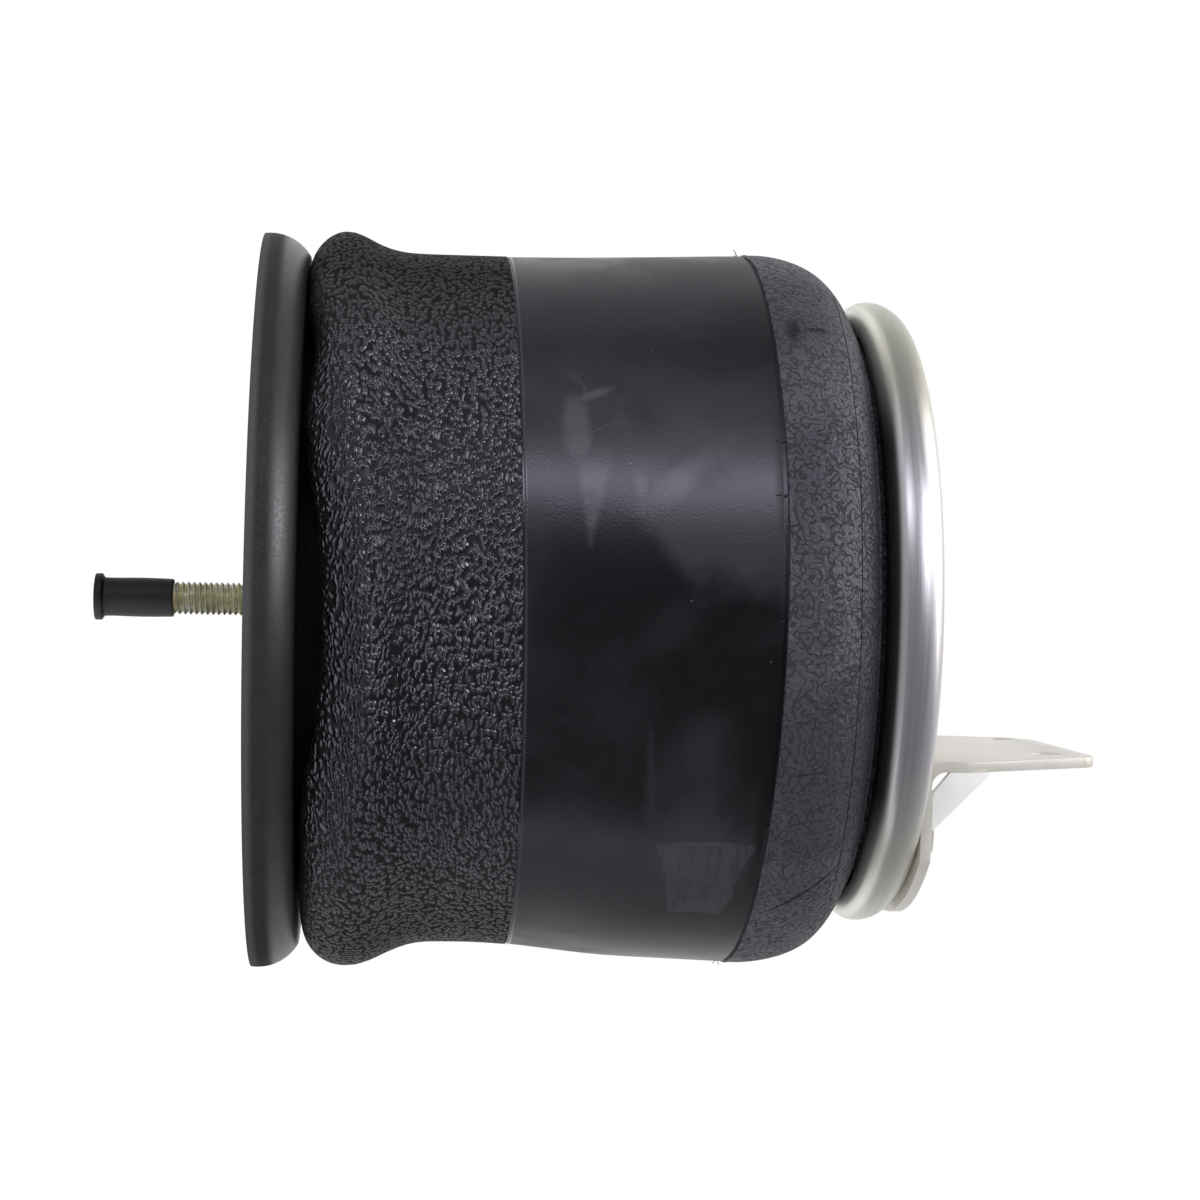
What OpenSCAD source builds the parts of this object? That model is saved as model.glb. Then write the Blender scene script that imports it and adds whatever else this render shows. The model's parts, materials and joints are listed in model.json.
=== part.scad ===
// Rolling-lobe air suspension spring, drawn on its vertical axis.
// The origin is the centre of the piston's base face, with +Z towards the bead plate.

/* [Overall] */
// Height from the piston's base face to the outer face of the bead plate
height = 183; // [178:1:200]
// Gap left between pieces that move past each other
gap = 0.3; // [0.2:0.05:0.5]
// Radial clearance of a shaft in its own bore
fit = 0.05; // [0.02:0.01:0.1]

/* [Piston] */
// Radius of the wall that the sleeve rolls along
piston_r = 82; // [76:1:84]
// Height of the piston's crown above its base face
piston_h = 100; // [92:1:108]
// Radius of the corner between wall and crown
crown_r = 12; // [8:1:16]
// Radius of the flared base
base_r = 105; // [101:0.1:110]
// Thickness of the flared base
base_t = 12.8; // [11:0.1:13]
// Radius of the base's rounded edge
base_edge_r = 12.9; // [12.9:0.1:16]
// Moulded wall thickness
moulded_t = 5; // [4:0.5:7]
// Number of radial ribs on the underside
rib_count = 16; // [12:2:20]
// Thickness of one rib
rib_t = 4; // [3:0.5:5]
// Radius of the hub that takes the mounting load
hub_r = 24; // [22:1:30]

/* [Flexible sleeve] */
// Wall thickness of the rubber
sleeve_t = 3.6; // [3:0.1:4.2]
// Outer radius at the rolling lobe
lobe_r = 105.9; // [104:0.1:108]
// Clearance between the lobe and the flared base
lobe_clearance = 0.9; // [0.3:0.1:9]
// Height over which the wall narrows above the lobe's centre
lobe_taper_h = 22.5; // [18:0.5:26]
// Outer radius of the straight wall
wall_r = 100.1; // [99:0.1:102]
// Outer radius where the wall meets the shoulder
shoulder_max_r = 102.5; // [101:0.5:106]
// Radius of the rounded shoulder
shoulder_r = 24; // [22:1:26]
// Height where the grained part ends and the smooth band starts
band_z = 72.2; // [68:0.1:80]
// Height of the grained skin over the smooth band
grain_h = 0.15; // [0.05:0.05:0.3]
// Distance of the upper seam below the shoulder's centre
seam_drop = 3.5; // [3.2:0.1:8]
// Width of the grooves at both ends of the smooth band
groove_w = 0.6; // [0.4:0.1:1]
// Depth of those grooves
groove_depth = 0.6; // [0.3:0.1:0.9]
// Turn of the mould line on the shoulder, from its widest point towards the plate, in degrees
mould_line_angle = 43; // [30:1:55]
// Radius of the raised lip that ends the shoulder under the rim
lip_r = 0.5; // [0.3:0.05:0.7]
// Turn of that lip on the shoulder, measured as the mould line's
lip_angle = 74; // [70:1:76]
// Radius of each bead's round section
bead_section_r = 4.4; // [3.6:0.1:4.4]
// Radius of the steel hoop inside a bead
core_r = 2.2; // [1.5:0.1:2.4]

/* [Bead plate] */
// Outer diameter of the rolled rim
plate_d = 180; // [176:1:184]
// Thickness of the pressed sheet
plate_t = 2.5; // [2:0.1:2.5]
// Outer radius of the rim's upper roll
rim_r = 10; // [10:0.5:12]
// Outer radius of the curl under the rim
curl_r = 6; // [6:0.5:7]
// Distance of the air port from the axis
port_x = 50; // [48:1:54]
// Bore of the air port's pipe thread
port_bore_d = 11.1; // [8:0.1:12]
// Outer diameter of the air port's boss
port_boss_d = 28; // [24:1:30]
// Depth of the boss below the plate
port_boss_h = 14; // [10:1:16]

/* [Bracket] */
// Distance of the bracket's upright face from the axis
bracket_x = 39.6; // [36:0.2:41]
// Thickness of the bracket's sheet
bracket_t = 3; // [2.5:0.5:4]
// Inner radius of the bend
bend_r = 4; // [3:0.5:5]
// Height of the upright above the bead plate
upright_h = 55.5; // [50:0.5:62]
// Half width of the leg that lies on the plate
leg_half_w = 56; // [52:1:58]
// Radius of the leg's rounded end about the axis
leg_end_r = 87.5; // [84:0.5:89]
// Diameter of the two bolt holes
bolt_d = 9; // [7:0.5:11]
// Distance between the two bolt holes
bolt_spacing = 60; // [52:1:64]
// Middle of the bolt holes, off the axis
bolt_mid_y = 10; // [8:1:12]
// Height of the bolt holes above the bead plate
bolt_h = 43.5; // [40:0.5:45]
// Reach of a gusset along the leg and along the upright
gusset_reach = 16.5; // [14:0.5:18]

/* [Fasteners] */
// Thread diameter of the mounting stud
stud_d = 9.525; // [8:0.025:10]
// Length of the stud below the base face
stud_length = 44.45; // [40:0.05:55]
// Diameter of the stud's shank inside the piston
shank_d = 12.7; // [12:0.1:14]
// Diameter of the two studs that hold the bracket
plate_stud_d = 9.525; // [8:0.025:10]
// Distance between the two bracket studs
plate_stud_spacing = 50; // [44:1:60]
// Distance of the bracket studs from the axis
plate_stud_x = 62; // [60:0.5:64]
// Height of a bracket nut
plate_nut_h = 5.56; // [5:0.02:6]
// Width across the flats of a bracket nut
plate_nut_af = 14.29; // [13:0.01:16]
// Width across the flats of the nut in the piston
stud_nut_af = 19.05; // [18:0.05:20]
// Height of the nut in the piston
stud_nut_h = 7.9; // [7:0.1:9]
// Thickness of the washer in the piston
stud_washer_t = 2; // [1.5:0.1:3]

/* [Bump stop] */
// Radius of the bump stop's foot
bump_foot_r = 40; // [36:0.5:41]
// Radius of the bump stop's head
bump_head_r = 30; // [26:0.5:31]
// Radius of the screw that holds it
bump_screw_r = 3; // [2.5:0.1:3.5]

/* [Stud cap] */
// Length of the cap
cap_length = 22.8; // [20:0.1:26]
// Diameter of the cap's body
cap_d = 11.1; // [10.9:0.1:13]
// Diameter of the flange at its closed end
cap_flange_d = 13.4; // [13:0.1:16]
// Thickness of that flange
cap_flange_t = 2.7; // [2:0.1:3.5]
// Thickness of the closed end
cap_end_t = 3.1; // [2.5:0.1:4]

/* [Hidden] */
$fn = 96;
cut = 1;
root3 = sqrt(3);

// Piston: the base edge's arc, the hub's bores and the recess for the nut
base_edge_c = base_r - base_edge_r;
base_edge_z = 1.7;
base_skin_t = moulded_t - 1;
foot_fillet = 3;
insert_r = 10;
stud_recess_r = 13.5;
stud_recess_h = stud_nut_h + stud_washer_t + 0.6;

// End closure: a pressed dish that clamps the sleeve's lower bead on the crown
closure_t = 2.5;
closure_rim_r = 57;
lower_bead_w = 2 * bead_section_r;
lower_bead_h = lower_bead_w + 0.7;
closure_wall_r = closure_rim_r - closure_t - gap - lower_bead_w - gap;
closure_top = piston_h + gap + lower_bead_h + gap + closure_t;
closure_floor = piston_h + closure_t;
lower_bead_r = closure_wall_r + gap + bead_section_r;
lower_bead_z = piston_h + gap + lower_bead_h - bead_section_r;

// Stud: its head stands on the closure's floor over a seal ring
head_r = 14;
head_h = 6;
stud_top = closure_floor + head_h;
stud_tip_chamfer = 1.2;
seal_wire_r = 1.1;
seal_r = shank_d / 2 + 2.7;

// Sleeve: the inner wall stands off the piston by the gap, and the lobe joins it to the outer wall
inner_wall_r = piston_r + gap;
lobe_section_r = (lobe_r - inner_wall_r) / 2;
lobe_z = base_t + lobe_clearance + lobe_section_r;
lobe_c = inner_wall_r + lobe_section_r;
crown_c = piston_r - crown_r;
crown_z = piston_h - crown_r;

// Bead plate: the rim's two arcs share their widest point
plate_r = plate_d / 2;
plate_under = height - plate_t;
rim_z = height - rim_r;
rim_c = plate_r - rim_r;
curl_c = plate_r - curl_r;
rim_bottom = rim_z - curl_r;
shoulder_c = shoulder_max_r - shoulder_r;
shoulder_z = rim_bottom - 1 - shoulder_r;
seam_z = shoulder_z - seam_drop;
mould_line_w = 0.5;
neck_out_r = curl_c - 0.4;
neck_in_r = neck_out_r - sleeve_t;
upper_bead_r = rim_c + 2.5;
upper_bead_z = rim_z + 1.2;

// Bracket: the sheet's lower face lies on the plate
leg_top = height + bracket_t;
bend_out_r = bend_r + bracket_t;
bend_x = bracket_x + bend_out_r;
bend_z = height + bend_out_r;
upright_in_x = bracket_x + bracket_t;
upright_top = height + upright_h;
bolt_z = height + bolt_h;
plate_stud_head_r = 10;
port_flange_w = 4;
upright_taper = 22;
plate_stud_head_h = 3;
plate_stud_top = leg_top + plate_nut_h + 0.6;

// Bump stop: it clears the plate by the gap and is screwed down through its floor
bump_bottom = closure_floor;
bump_top = plate_under - gap;
bump_pocket_top = stud_top + 3;
bump_floor_t = 16;
bump_floor_top = bump_pocket_top + bump_floor_t;
bump_bore_r = 12;
bump_foot_h = 9;
bump_waist_r = bump_head_r - 3;
bump_screw_head_r = 6;
bump_screw_head_h = 4;
bump_washer_r = 11;
bump_washer_t = 2;
bump_screw_grip = 12;
bump_screw_bottom = stud_top - bump_screw_grip;
bump_screw_top = bump_floor_top + bump_washer_t + bump_screw_head_h;

// Stud cap: its closed end stops just past the stud's tip
cap_bottom = -stud_length - cap_end_t;
cap_mouth_z = cap_bottom + cap_length;
cap_bore_r = stud_d / 2 + fit;
cap_belly = 0.15;

// Relief groove in the stud at the cap's mouth: the stud is free from the base to here
stud_free_z = cap_mouth_z + 0.55;
stud_relief_w = 1.4;
stud_relief_depth = 0.45;

// A square-cornered ring section from r0 to r1 and z0 to z1
module ring_box(r0, r1, z0, z1) {
    translate([r0, z0]) square([r1 - r0, z1 - z0]);
}

// One quarter or half of a ring section's round wall, kept inside a window
module round_wall(c_r, c_z, out_r, in_r, from, size) {
    intersection() {
        translate([c_r, c_z]) difference() {
            circle(r = out_r);
            circle(r = in_r);
        }
        translate(from) square(size);
    }
}

// A tube, or a rod when bore_r is zero, from z0 to z1
module tube(out_r, bore_r, z0, z1) {
    translate([0, 0, z0]) difference() {
        cylinder(r = out_r, h = z1 - z0);
        if (bore_r > 0)
            translate([0, 0, -cut]) cylinder(r = bore_r, h = z1 - z0 + 2 * cut);
    }
}

// A hexagonal nut with both its outer corners turned off
module hex_nut(flats, bore_r, h) {
    corner_r = flats / root3;
    difference() {
        intersection() {
            cylinder(r = corner_r, h = h, $fn = 6);
            cylinder(r1 = corner_r * 0.94, r2 = corner_r * 0.94 + h, h = h);
            cylinder(r1 = corner_r * 0.94 + h, r2 = corner_r * 0.94, h = h);
        }
        translate([0, 0, -cut]) cylinder(r = bore_r, h = h + 2 * cut);
    }
}

// Piston, seen from outside: straight wall, rolled crown and flared base
module piston_outline() {
    ring_box(0, piston_r - crown_r, 0, piston_h);
    ring_box(0, piston_r, 0, crown_z);
    translate([crown_c, crown_z]) circle(r = crown_r);
    intersection() {
        union() {
            ring_box(0, base_edge_c, 0, base_t);
            translate([base_edge_c, base_edge_z]) circle(r = base_edge_r);
        }
        ring_box(0, base_r, 0, base_t);
    }
    difference() {
        ring_box(piston_r - cut, piston_r + foot_fillet, base_t - cut, base_t + foot_fillet);
        translate([piston_r + foot_fillet, base_t + foot_fillet]) circle(r = foot_fillet);
    }
}

// The two rings of open space under the piston: inside its wall and inside its flared base
module piston_hollow() {
    inner_corner = crown_r - moulded_t;
    ceiling = piston_h - moulded_t - 1;
    ring_box(hub_r, piston_r - moulded_t - inner_corner, -cut, ceiling);
    ring_box(hub_r, piston_r - moulded_t, -cut, ceiling - inner_corner);
    translate([piston_r - moulded_t - inner_corner, ceiling - inner_corner]) circle(r = inner_corner);
    intersection() {
        union() {
            ring_box(piston_r, base_edge_c, -cut, base_t);
            translate([base_edge_c, base_edge_z]) circle(r = base_edge_r - base_skin_t);
            ring_box(piston_r, base_r - base_skin_t, -cut, base_edge_z);
        }
        ring_box(piston_r, base_r, -cut, base_t - base_skin_t);
    }
}

// Radial ribs that cross both hollows, flush with the base face
module piston_ribs() {
    for (i = [0 : rib_count - 1])
        rotate([0, 0, (i + 0.5) * 360 / rib_count])
            translate([hub_r - cut, -rib_t / 2, 0])
                cube([base_r - base_skin_t - hub_r, rib_t, piston_h - cut]);
}

module piston() {
    color([0.16, 0.16, 0.17]) difference() {
        rotate_extrude() piston_outline();
        difference() {
            rotate_extrude() piston_hollow();
            piston_ribs();
        }
        translate([0, 0, -cut]) cylinder(r = stud_recess_r, h = stud_recess_h + cut);
        translate([0, 0, -cut]) cylinder(r = insert_r, h = piston_h + 2 * cut);
    }
}

// Steel sleeve in the hub, which takes the nut's load past the moulding
module piston_insert() {
    color([0.55, 0.56, 0.58]) tube(insert_r, shank_d / 2 + 0.25, stud_recess_h, piston_h);
}

// Stud with a round head, a thick shank through the piston and a thinner thread below the base
module piston_stud() {
    color([0.72, 0.66, 0.45]) difference() {
        union() {
            translate([0, 0, -stud_length])
                cylinder(r1 = stud_d / 2 - stud_tip_chamfer, r2 = stud_d / 2, h = stud_tip_chamfer);
            tube(stud_d / 2, 0, stud_tip_chamfer - stud_length, 0);
            tube(shank_d / 2, 0, 0, stud_top);
            tube(head_r, 0, closure_floor, stud_top);
        }
        translate([0, 0, closure_floor - cut]) rotate_extrude()
            ring_box(seal_r - 1.6, seal_r + 1.6, 0, cut + 2 * seal_wire_r);
        translate([0, 0, stud_free_z - stud_relief_w]) rotate_extrude()
            ring_box(stud_d / 2 - stud_relief_depth, stud_d / 2 + cut, 0, stud_relief_w);
        translate([0, 0, bump_screw_bottom - cut])
            cylinder(r = bump_screw_r + fit, h = stud_top - bump_screw_bottom + 2 * cut);
    }
}

module stud_washer() {
    color([0.7, 0.7, 0.68])
        tube(stud_recess_r - 0.5, shank_d / 2 + gap, stud_recess_h - stud_washer_t, stud_recess_h);
}

module stud_nut() {
    color([0.7, 0.66, 0.5]) translate([0, 0, stud_recess_h - stud_washer_t - stud_nut_h])
        hex_nut(stud_nut_af, shank_d / 2 + fit, stud_nut_h);
}

// Rubber ring that keeps the air in where the stud passes the closure
module stud_seal() {
    color([0.08, 0.08, 0.08]) translate([0, 0, closure_floor + seal_wire_r])
        rotate_extrude() translate([seal_r, 0]) circle(r = seal_wire_r, $fn = 32);
}

module end_closure() {
    color([0.6, 0.6, 0.62]) rotate_extrude() {
        ring_box(shank_d / 2 + gap, closure_wall_r, piston_h, closure_floor);
        ring_box(closure_wall_r - closure_t, closure_wall_r, piston_h, closure_top);
        ring_box(closure_wall_r - closure_t, closure_rim_r - closure_t, closure_top - closure_t, closure_top);
        intersection() {
            translate([closure_rim_r - closure_t, closure_top - closure_t]) circle(r = closure_t);
            ring_box(closure_rim_r - closure_t, closure_rim_r, closure_top - closure_t, closure_top);
        }
        ring_box(closure_rim_r - closure_t, closure_rim_r,
            piston_h + gap + sleeve_t + gap, closure_top - closure_t);
    }
}

module lower_bead_core() {
    color([0.5, 0.45, 0.3]) rotate_extrude()
        translate([lower_bead_r, lower_bead_z]) circle(r = core_r, $fn = 32);
}

// Rubber buffer with a foot, a waist and a rounded head, hollow above its clamped floor
module bump_stop() {
    head_round = 8;
    color([0.1, 0.1, 0.11]) rotate_extrude() difference() {
        union() {
            ring_box(0, bump_foot_r, bump_bottom, bump_bottom + bump_foot_h);
            polygon([
                [0, bump_bottom + bump_foot_h],
                [bump_foot_r, bump_bottom + bump_foot_h],
                [bump_head_r, bump_bottom + 2 * bump_foot_h],
                [bump_waist_r, (bump_bottom + bump_top) / 2],
                [bump_head_r, bump_top - 2 * head_round],
                [bump_head_r, bump_top - head_round],
                [0, bump_top - head_round]
            ]);
            ring_box(0, bump_head_r - head_round, bump_bottom, bump_top);
            translate([bump_head_r - head_round, bump_top - head_round]) circle(r = head_round);
        }
        ring_box(-cut, head_r + 1, bump_bottom - cut, bump_pocket_top);
        ring_box(-cut, bump_screw_r + gap, bump_bottom, bump_top);
        ring_box(-cut, bump_bore_r, bump_floor_top, bump_top + cut);
    }
}

module bump_stop_washer() {
    color([0.7, 0.7, 0.7])
        tube(bump_washer_r, bump_screw_r + gap, bump_floor_top, bump_floor_top + bump_washer_t);
}

module bump_stop_screw() {
    color([0.6, 0.6, 0.6]) {
        tube(bump_screw_r, 0, bump_screw_bottom, bump_screw_top - cut);
        translate([0, 0, bump_floor_top + bump_washer_t])
            cylinder(r = bump_screw_head_r, h = bump_screw_head_h, $fn = 6);
    }
}

// The sleeve's half section: lower bead, inner wall, rolling lobe, outer wall, shoulder, upper bead
module sleeve_section() {
    crown_out = crown_r + gap + sleeve_t;
    difference() {
        union() {
            ring_box(lower_bead_r, crown_c, piston_h + gap, piston_h + gap + sleeve_t);
            ring_box(lower_bead_r - bead_section_r, lower_bead_r + bead_section_r,
                piston_h + gap, lower_bead_z);
            translate([lower_bead_r, lower_bead_z]) circle(r = bead_section_r);
            translate([upper_bead_r, upper_bead_z]) circle(r = bead_section_r);
        }
        translate([lower_bead_r, lower_bead_z]) circle(r = core_r + gap, $fn = 32);
        translate([upper_bead_r, upper_bead_z]) circle(r = core_r + gap, $fn = 32);
    }
    round_wall(crown_c, crown_z, crown_out, crown_r + gap, [crown_c, crown_z], [crown_out, crown_out]);
    ring_box(inner_wall_r, inner_wall_r + sleeve_t, lobe_z, crown_z);
    round_wall(lobe_c, lobe_z, lobe_section_r, lobe_section_r - sleeve_t,
        [inner_wall_r, lobe_z - lobe_section_r], [2 * lobe_section_r, lobe_section_r]);
    outer_wall();
    difference() {
        round_wall(shoulder_c, shoulder_z, shoulder_r, shoulder_r - sleeve_t,
            [neck_in_r, shoulder_z], [shoulder_max_r - neck_in_r, shoulder_r]);
        translate([shoulder_c, shoulder_z]) rotate(mould_line_angle)
            translate([shoulder_r, 0]) square(mould_line_w, center = true);
    }
    translate([shoulder_c, shoulder_z]) rotate(lip_angle)
        translate([shoulder_r, 0]) circle(r = lip_r, $fn = 24);
    difference() {
        ring_box(neck_in_r, neck_out_r, shoulder_z + shoulder_r - 2 * sleeve_t, upper_bead_z);
        translate([shoulder_c, shoulder_z]) circle(r = shoulder_r - sleeve_t);
        translate([upper_bead_r, upper_bead_z]) circle(r = core_r + gap, $fn = 32);
    }
}

// The outer wall narrows above the lobe, runs straight, and widens towards the shoulder.
// A groove at each end borders the smooth band, which lies a little below the grained skin.
module outer_wall() {
    out = [
        [lobe_r, lobe_z],
        [lobe_r, lobe_z + 0.07 * lobe_taper_h],
        [lobe_r - 1.3, lobe_z + 0.31 * lobe_taper_h],
        [wall_r + 1.2, lobe_z + 0.7 * lobe_taper_h],
        [wall_r, lobe_z + lobe_taper_h],
        [wall_r, band_z - groove_w / 2],
        [wall_r - grain_h, band_z + groove_w / 2],
        [shoulder_max_r - grain_h, seam_z],
        [shoulder_max_r, shoulder_z]
    ];
    last = len(out) - 1;
    inside = [for (i = [last : -1 : 0]) [out[i][0] - sleeve_t, out[i][1]]];
    difference() {
        polygon(concat(out, inside));
        groove(wall_r - grain_h, band_z);
        groove(shoulder_max_r - grain_h, seam_z);
    }
}

// Section of a square groove cut into a wall of that outer radius, centred on that height
module groove(wall_out_r, z) {
    ring_box(wall_out_r - groove_depth, wall_out_r + cut, z - groove_w / 2, z + groove_w / 2);
}

module flexible_sleeve() {
    color([0.09, 0.09, 0.1]) rotate_extrude() sleeve_section();
}

// Pressed plate: a flat disc whose rim rolls over and curls under the bead
module bead_plate() {
    color([0.78, 0.78, 0.76]) difference() {
        rotate_extrude() {
            ring_box(0, rim_c, plate_under, height);
            round_wall(rim_c, rim_z, rim_r, rim_r - plate_t, [rim_c, rim_z], [rim_r, rim_r]);
            round_wall(curl_c, rim_z, curl_r, curl_r - plate_t, [curl_c, rim_bottom], [curl_r, curl_r]);
        }
        translate([-port_x, 0, plate_under - cut])
            cylinder(d = port_boss_d - 2 * port_flange_w, h = plate_t + 2 * cut);
        for (side = [-1, 1])
            translate([plate_stud_x, side * plate_stud_spacing / 2, plate_under - cut])
                cylinder(d = plate_stud_d + 2 * fit, h = plate_t + 2 * cut);
    }
}

module upper_bead_core() {
    color([0.5, 0.45, 0.3]) rotate_extrude()
        translate([upper_bead_r, upper_bead_z]) circle(r = core_r, $fn = 32);
}

// Threaded boss for the air line: its flange is welded inside, its spigot ends flush outside
module air_port_boss() {
    color([0.7, 0.7, 0.68]) translate([-port_x, 0, 0]) difference() {
        union() {
            tube(port_boss_d / 2, 0, plate_under - port_boss_h, plate_under);
            tube(port_boss_d / 2 - port_flange_w, 0, plate_under - cut, height);
        }
        translate([0, 0, plate_under - port_boss_h - cut])
            cylinder(d = port_bore_d, h = port_boss_h + plate_t + 2 * cut);
    }
}

// A stud with its welded head inside the plate, and the nut that clamps the bracket's leg
module plate_stud(side) {
    color([0.72, 0.7, 0.6]) translate([plate_stud_x, side * plate_stud_spacing / 2, 0]) {
        tube(plate_stud_head_r, 0, plate_under - plate_stud_head_h, plate_under);
        tube(plate_stud_d / 2, 0, plate_under - cut, plate_stud_top);
    }
}

module plate_nut(side) {
    color([0.72, 0.7, 0.6]) translate([plate_stud_x, side * plate_stud_spacing / 2, leg_top])
        hex_nut(plate_nut_af, plate_stud_d / 2 + fit, plate_nut_h);
}

module plate_stud_near() { plate_stud(-1); }
module plate_stud_far() { plate_stud(1); }
module plate_nut_near() { plate_nut(-1); }
module plate_nut_far() { plate_nut(1); }

// The bent sheet's profile, x across and z up: leg, bend and upright
module bracket_profile() {
    translate([bend_x, height]) square([leg_end_r - bend_x, bracket_t]);
    translate([bracket_x, bend_z]) square([bracket_t, upright_top - bend_z]);
    round_wall(bend_x, bend_z, bend_out_r, bend_r, [bracket_x, height], [bend_out_r, bend_out_r]);
}

// The upright's outline, seen along X: wide at the bend, tapered on the near side
module upright_outline() {
    near_corner = 9;
    far_corner = 14;
    far_w = leg_half_w - 8;
    hull() {
        translate([-leg_half_w, height - cut]) square([2 * leg_half_w, bend_out_r + cut]);
        translate([-leg_half_w, bend_z]) square([cut, bend_out_r]);
        translate([-leg_half_w + upright_taper + near_corner, upright_top - near_corner])
            circle(r = near_corner, $fn = 32);
        translate([far_w - far_corner, upright_top - far_corner - 2]) circle(r = far_corner, $fn = 32);
    }
}

module bracket() {
    color([0.85, 0.85, 0.83]) difference() {
        intersection() {
            translate([0, leg_half_w + cut, 0]) rotate([90, 0, 0])
                linear_extrude(height = 2 * (leg_half_w + cut)) bracket_profile();
            union() {
                translate([bracket_x - cut, 0, 0]) rotate([90, 0, 90])
                    linear_extrude(height = bend_out_r + 2 * cut) upright_outline();
                intersection() {
                    translate([bend_x, -leg_half_w, height - cut])
                        cube([leg_end_r, 2 * leg_half_w, bracket_t + 2 * cut]);
                    translate([0, 0, height - cut]) cylinder(r = leg_end_r, h = bracket_t + 2 * cut);
                }
            }
        }
        for (side = [-1, 1]) {
            translate([bracket_x - cut, bolt_mid_y + side * bolt_spacing / 2, bolt_z])
                rotate([0, 90, 0]) cylinder(d = bolt_d, h = bracket_t + 2 * cut);
            translate([plate_stud_x, side * plate_stud_spacing / 2, height - cut])
                cylinder(d = plate_stud_d + 2 * fit, h = bracket_t + 2 * cut);
        }
    }
}

// Triangular gusset welded between leg and upright, its inner corner clipped past the bend
module bracket_gusset(side) {
    clip = bend_r + 1;
    near_face = side > 0 ? leg_half_w : bracket_t - leg_half_w;
    color([0.85, 0.85, 0.86]) translate([0, near_face, 0]) rotate([90, 0, 0])
        linear_extrude(height = bracket_t) polygon([
            [upright_in_x, leg_top + clip],
            [upright_in_x, leg_top + gusset_reach],
            [upright_in_x + gusset_reach, leg_top],
            [upright_in_x + clip + 1, leg_top]
        ]);
}

module bracket_gusset_near() { bracket_gusset(-1); }
module bracket_gusset_far() { bracket_gusset(1); }

// Soft cap that protects the thread: a slightly barrelled tube with a flanged, domed end
module stud_cap() {
    dome_r = 2 * cap_flange_d;
    dome_rise = dome_r - sqrt(dome_r * dome_r - cap_flange_d * cap_flange_d / 4);
    cap_mid = (cap_bottom + cap_mouth_z) / 2;
    color([0.07, 0.07, 0.07]) rotate_extrude() difference() {
        union() {
            polygon([
                [0, cap_bottom + cut],
                [cap_d / 2 - cap_belly, cap_bottom + cap_flange_t],
                [cap_d / 2 + cap_belly / 2, cap_mid],
                [cap_d / 2 + cap_belly / 2, cap_mid + 4],
                [cap_d / 2 - cap_belly / 2, cap_mouth_z],
                [0, cap_mouth_z]
            ]);
            intersection() {
                ring_box(0, cap_flange_d / 2, cap_bottom, cap_bottom + cap_flange_t);
                translate([0, cap_bottom + dome_r]) circle(r = dome_r, $fn = 180);
            }
            ring_box(0, cap_flange_d / 2, cap_bottom + dome_rise, cap_bottom + cap_flange_t);
        }
        ring_box(-cut, cap_bore_r, -stud_length - gap, cap_mouth_z + cut);
        translate([-2 * dome_r, cap_bottom - cut]) square([2 * dome_r, 2 * dome_r]);
    }
}

piston();
piston_insert();
piston_stud();
stud_washer();
stud_nut();
stud_seal();
end_closure();
lower_bead_core();
bump_stop();
bump_stop_washer();
bump_stop_screw();
flexible_sleeve();
bead_plate();
upper_bead_core();
air_port_boss();
plate_stud_near();
plate_stud_far();
plate_nut_near();
plate_nut_far();
bracket();
bracket_gusset_near();
bracket_gusset_far();
stud_cap();
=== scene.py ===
# %% [markdown]
# # Air suspension spring
# A rolling-lobe air spring: a moulded piston with a flared base and a stud, a rubber sleeve that rolls down over
# it, a pressed bead plate and a bent bracket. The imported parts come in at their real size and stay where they
# are, and the soft and shiny ones are built again here in finer form.
# The axis is Z, from the stud's cap at the bottom to the bracket at the top. The photograph shows the spring lying
# down: its right is +Z here, its top is -X, and the camera stands on the -Y side.

import bmesh
import bpy
import json
import math
from mathutils import Matrix, Vector

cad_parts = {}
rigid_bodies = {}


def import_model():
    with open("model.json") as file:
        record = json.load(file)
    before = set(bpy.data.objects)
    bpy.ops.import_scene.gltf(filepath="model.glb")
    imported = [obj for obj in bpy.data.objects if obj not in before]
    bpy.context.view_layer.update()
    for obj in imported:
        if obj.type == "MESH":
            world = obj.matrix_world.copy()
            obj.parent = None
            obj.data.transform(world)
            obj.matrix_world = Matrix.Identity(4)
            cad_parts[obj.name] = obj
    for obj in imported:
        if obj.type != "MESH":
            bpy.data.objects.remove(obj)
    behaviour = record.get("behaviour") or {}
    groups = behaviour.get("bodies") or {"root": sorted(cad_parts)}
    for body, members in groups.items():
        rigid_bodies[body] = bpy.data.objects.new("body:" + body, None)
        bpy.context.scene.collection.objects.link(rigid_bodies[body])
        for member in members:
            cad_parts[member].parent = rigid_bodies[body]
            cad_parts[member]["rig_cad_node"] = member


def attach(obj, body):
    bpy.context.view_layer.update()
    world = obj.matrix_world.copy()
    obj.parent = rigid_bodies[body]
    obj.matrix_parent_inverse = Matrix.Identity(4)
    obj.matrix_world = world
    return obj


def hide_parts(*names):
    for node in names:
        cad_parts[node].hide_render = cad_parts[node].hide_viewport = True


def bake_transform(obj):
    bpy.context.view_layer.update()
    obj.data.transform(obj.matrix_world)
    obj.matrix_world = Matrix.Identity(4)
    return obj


MM = 0.001

bpy.context.scene.view_settings.view_transform = "Standard"
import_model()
frame_nodes = {o["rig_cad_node"]: o.name for o in bpy.data.objects if "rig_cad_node" in o}
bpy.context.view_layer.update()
print("packed nodes:", len(frame_nodes))

# %% [markdown]
# ## Camera
# A camera can be turned by three angles, but its lean is hard to read from them. Here the directions ahead, right
# and up are worked out from where it stands and what it looks at, and they fill its matrix. The lamps use the same
# function. The camera stands 0.79 m away, a little above the base, and looks slightly towards the plate's end.
# The photograph's up is -X, and the spring leans a degree clockwise in it.

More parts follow.
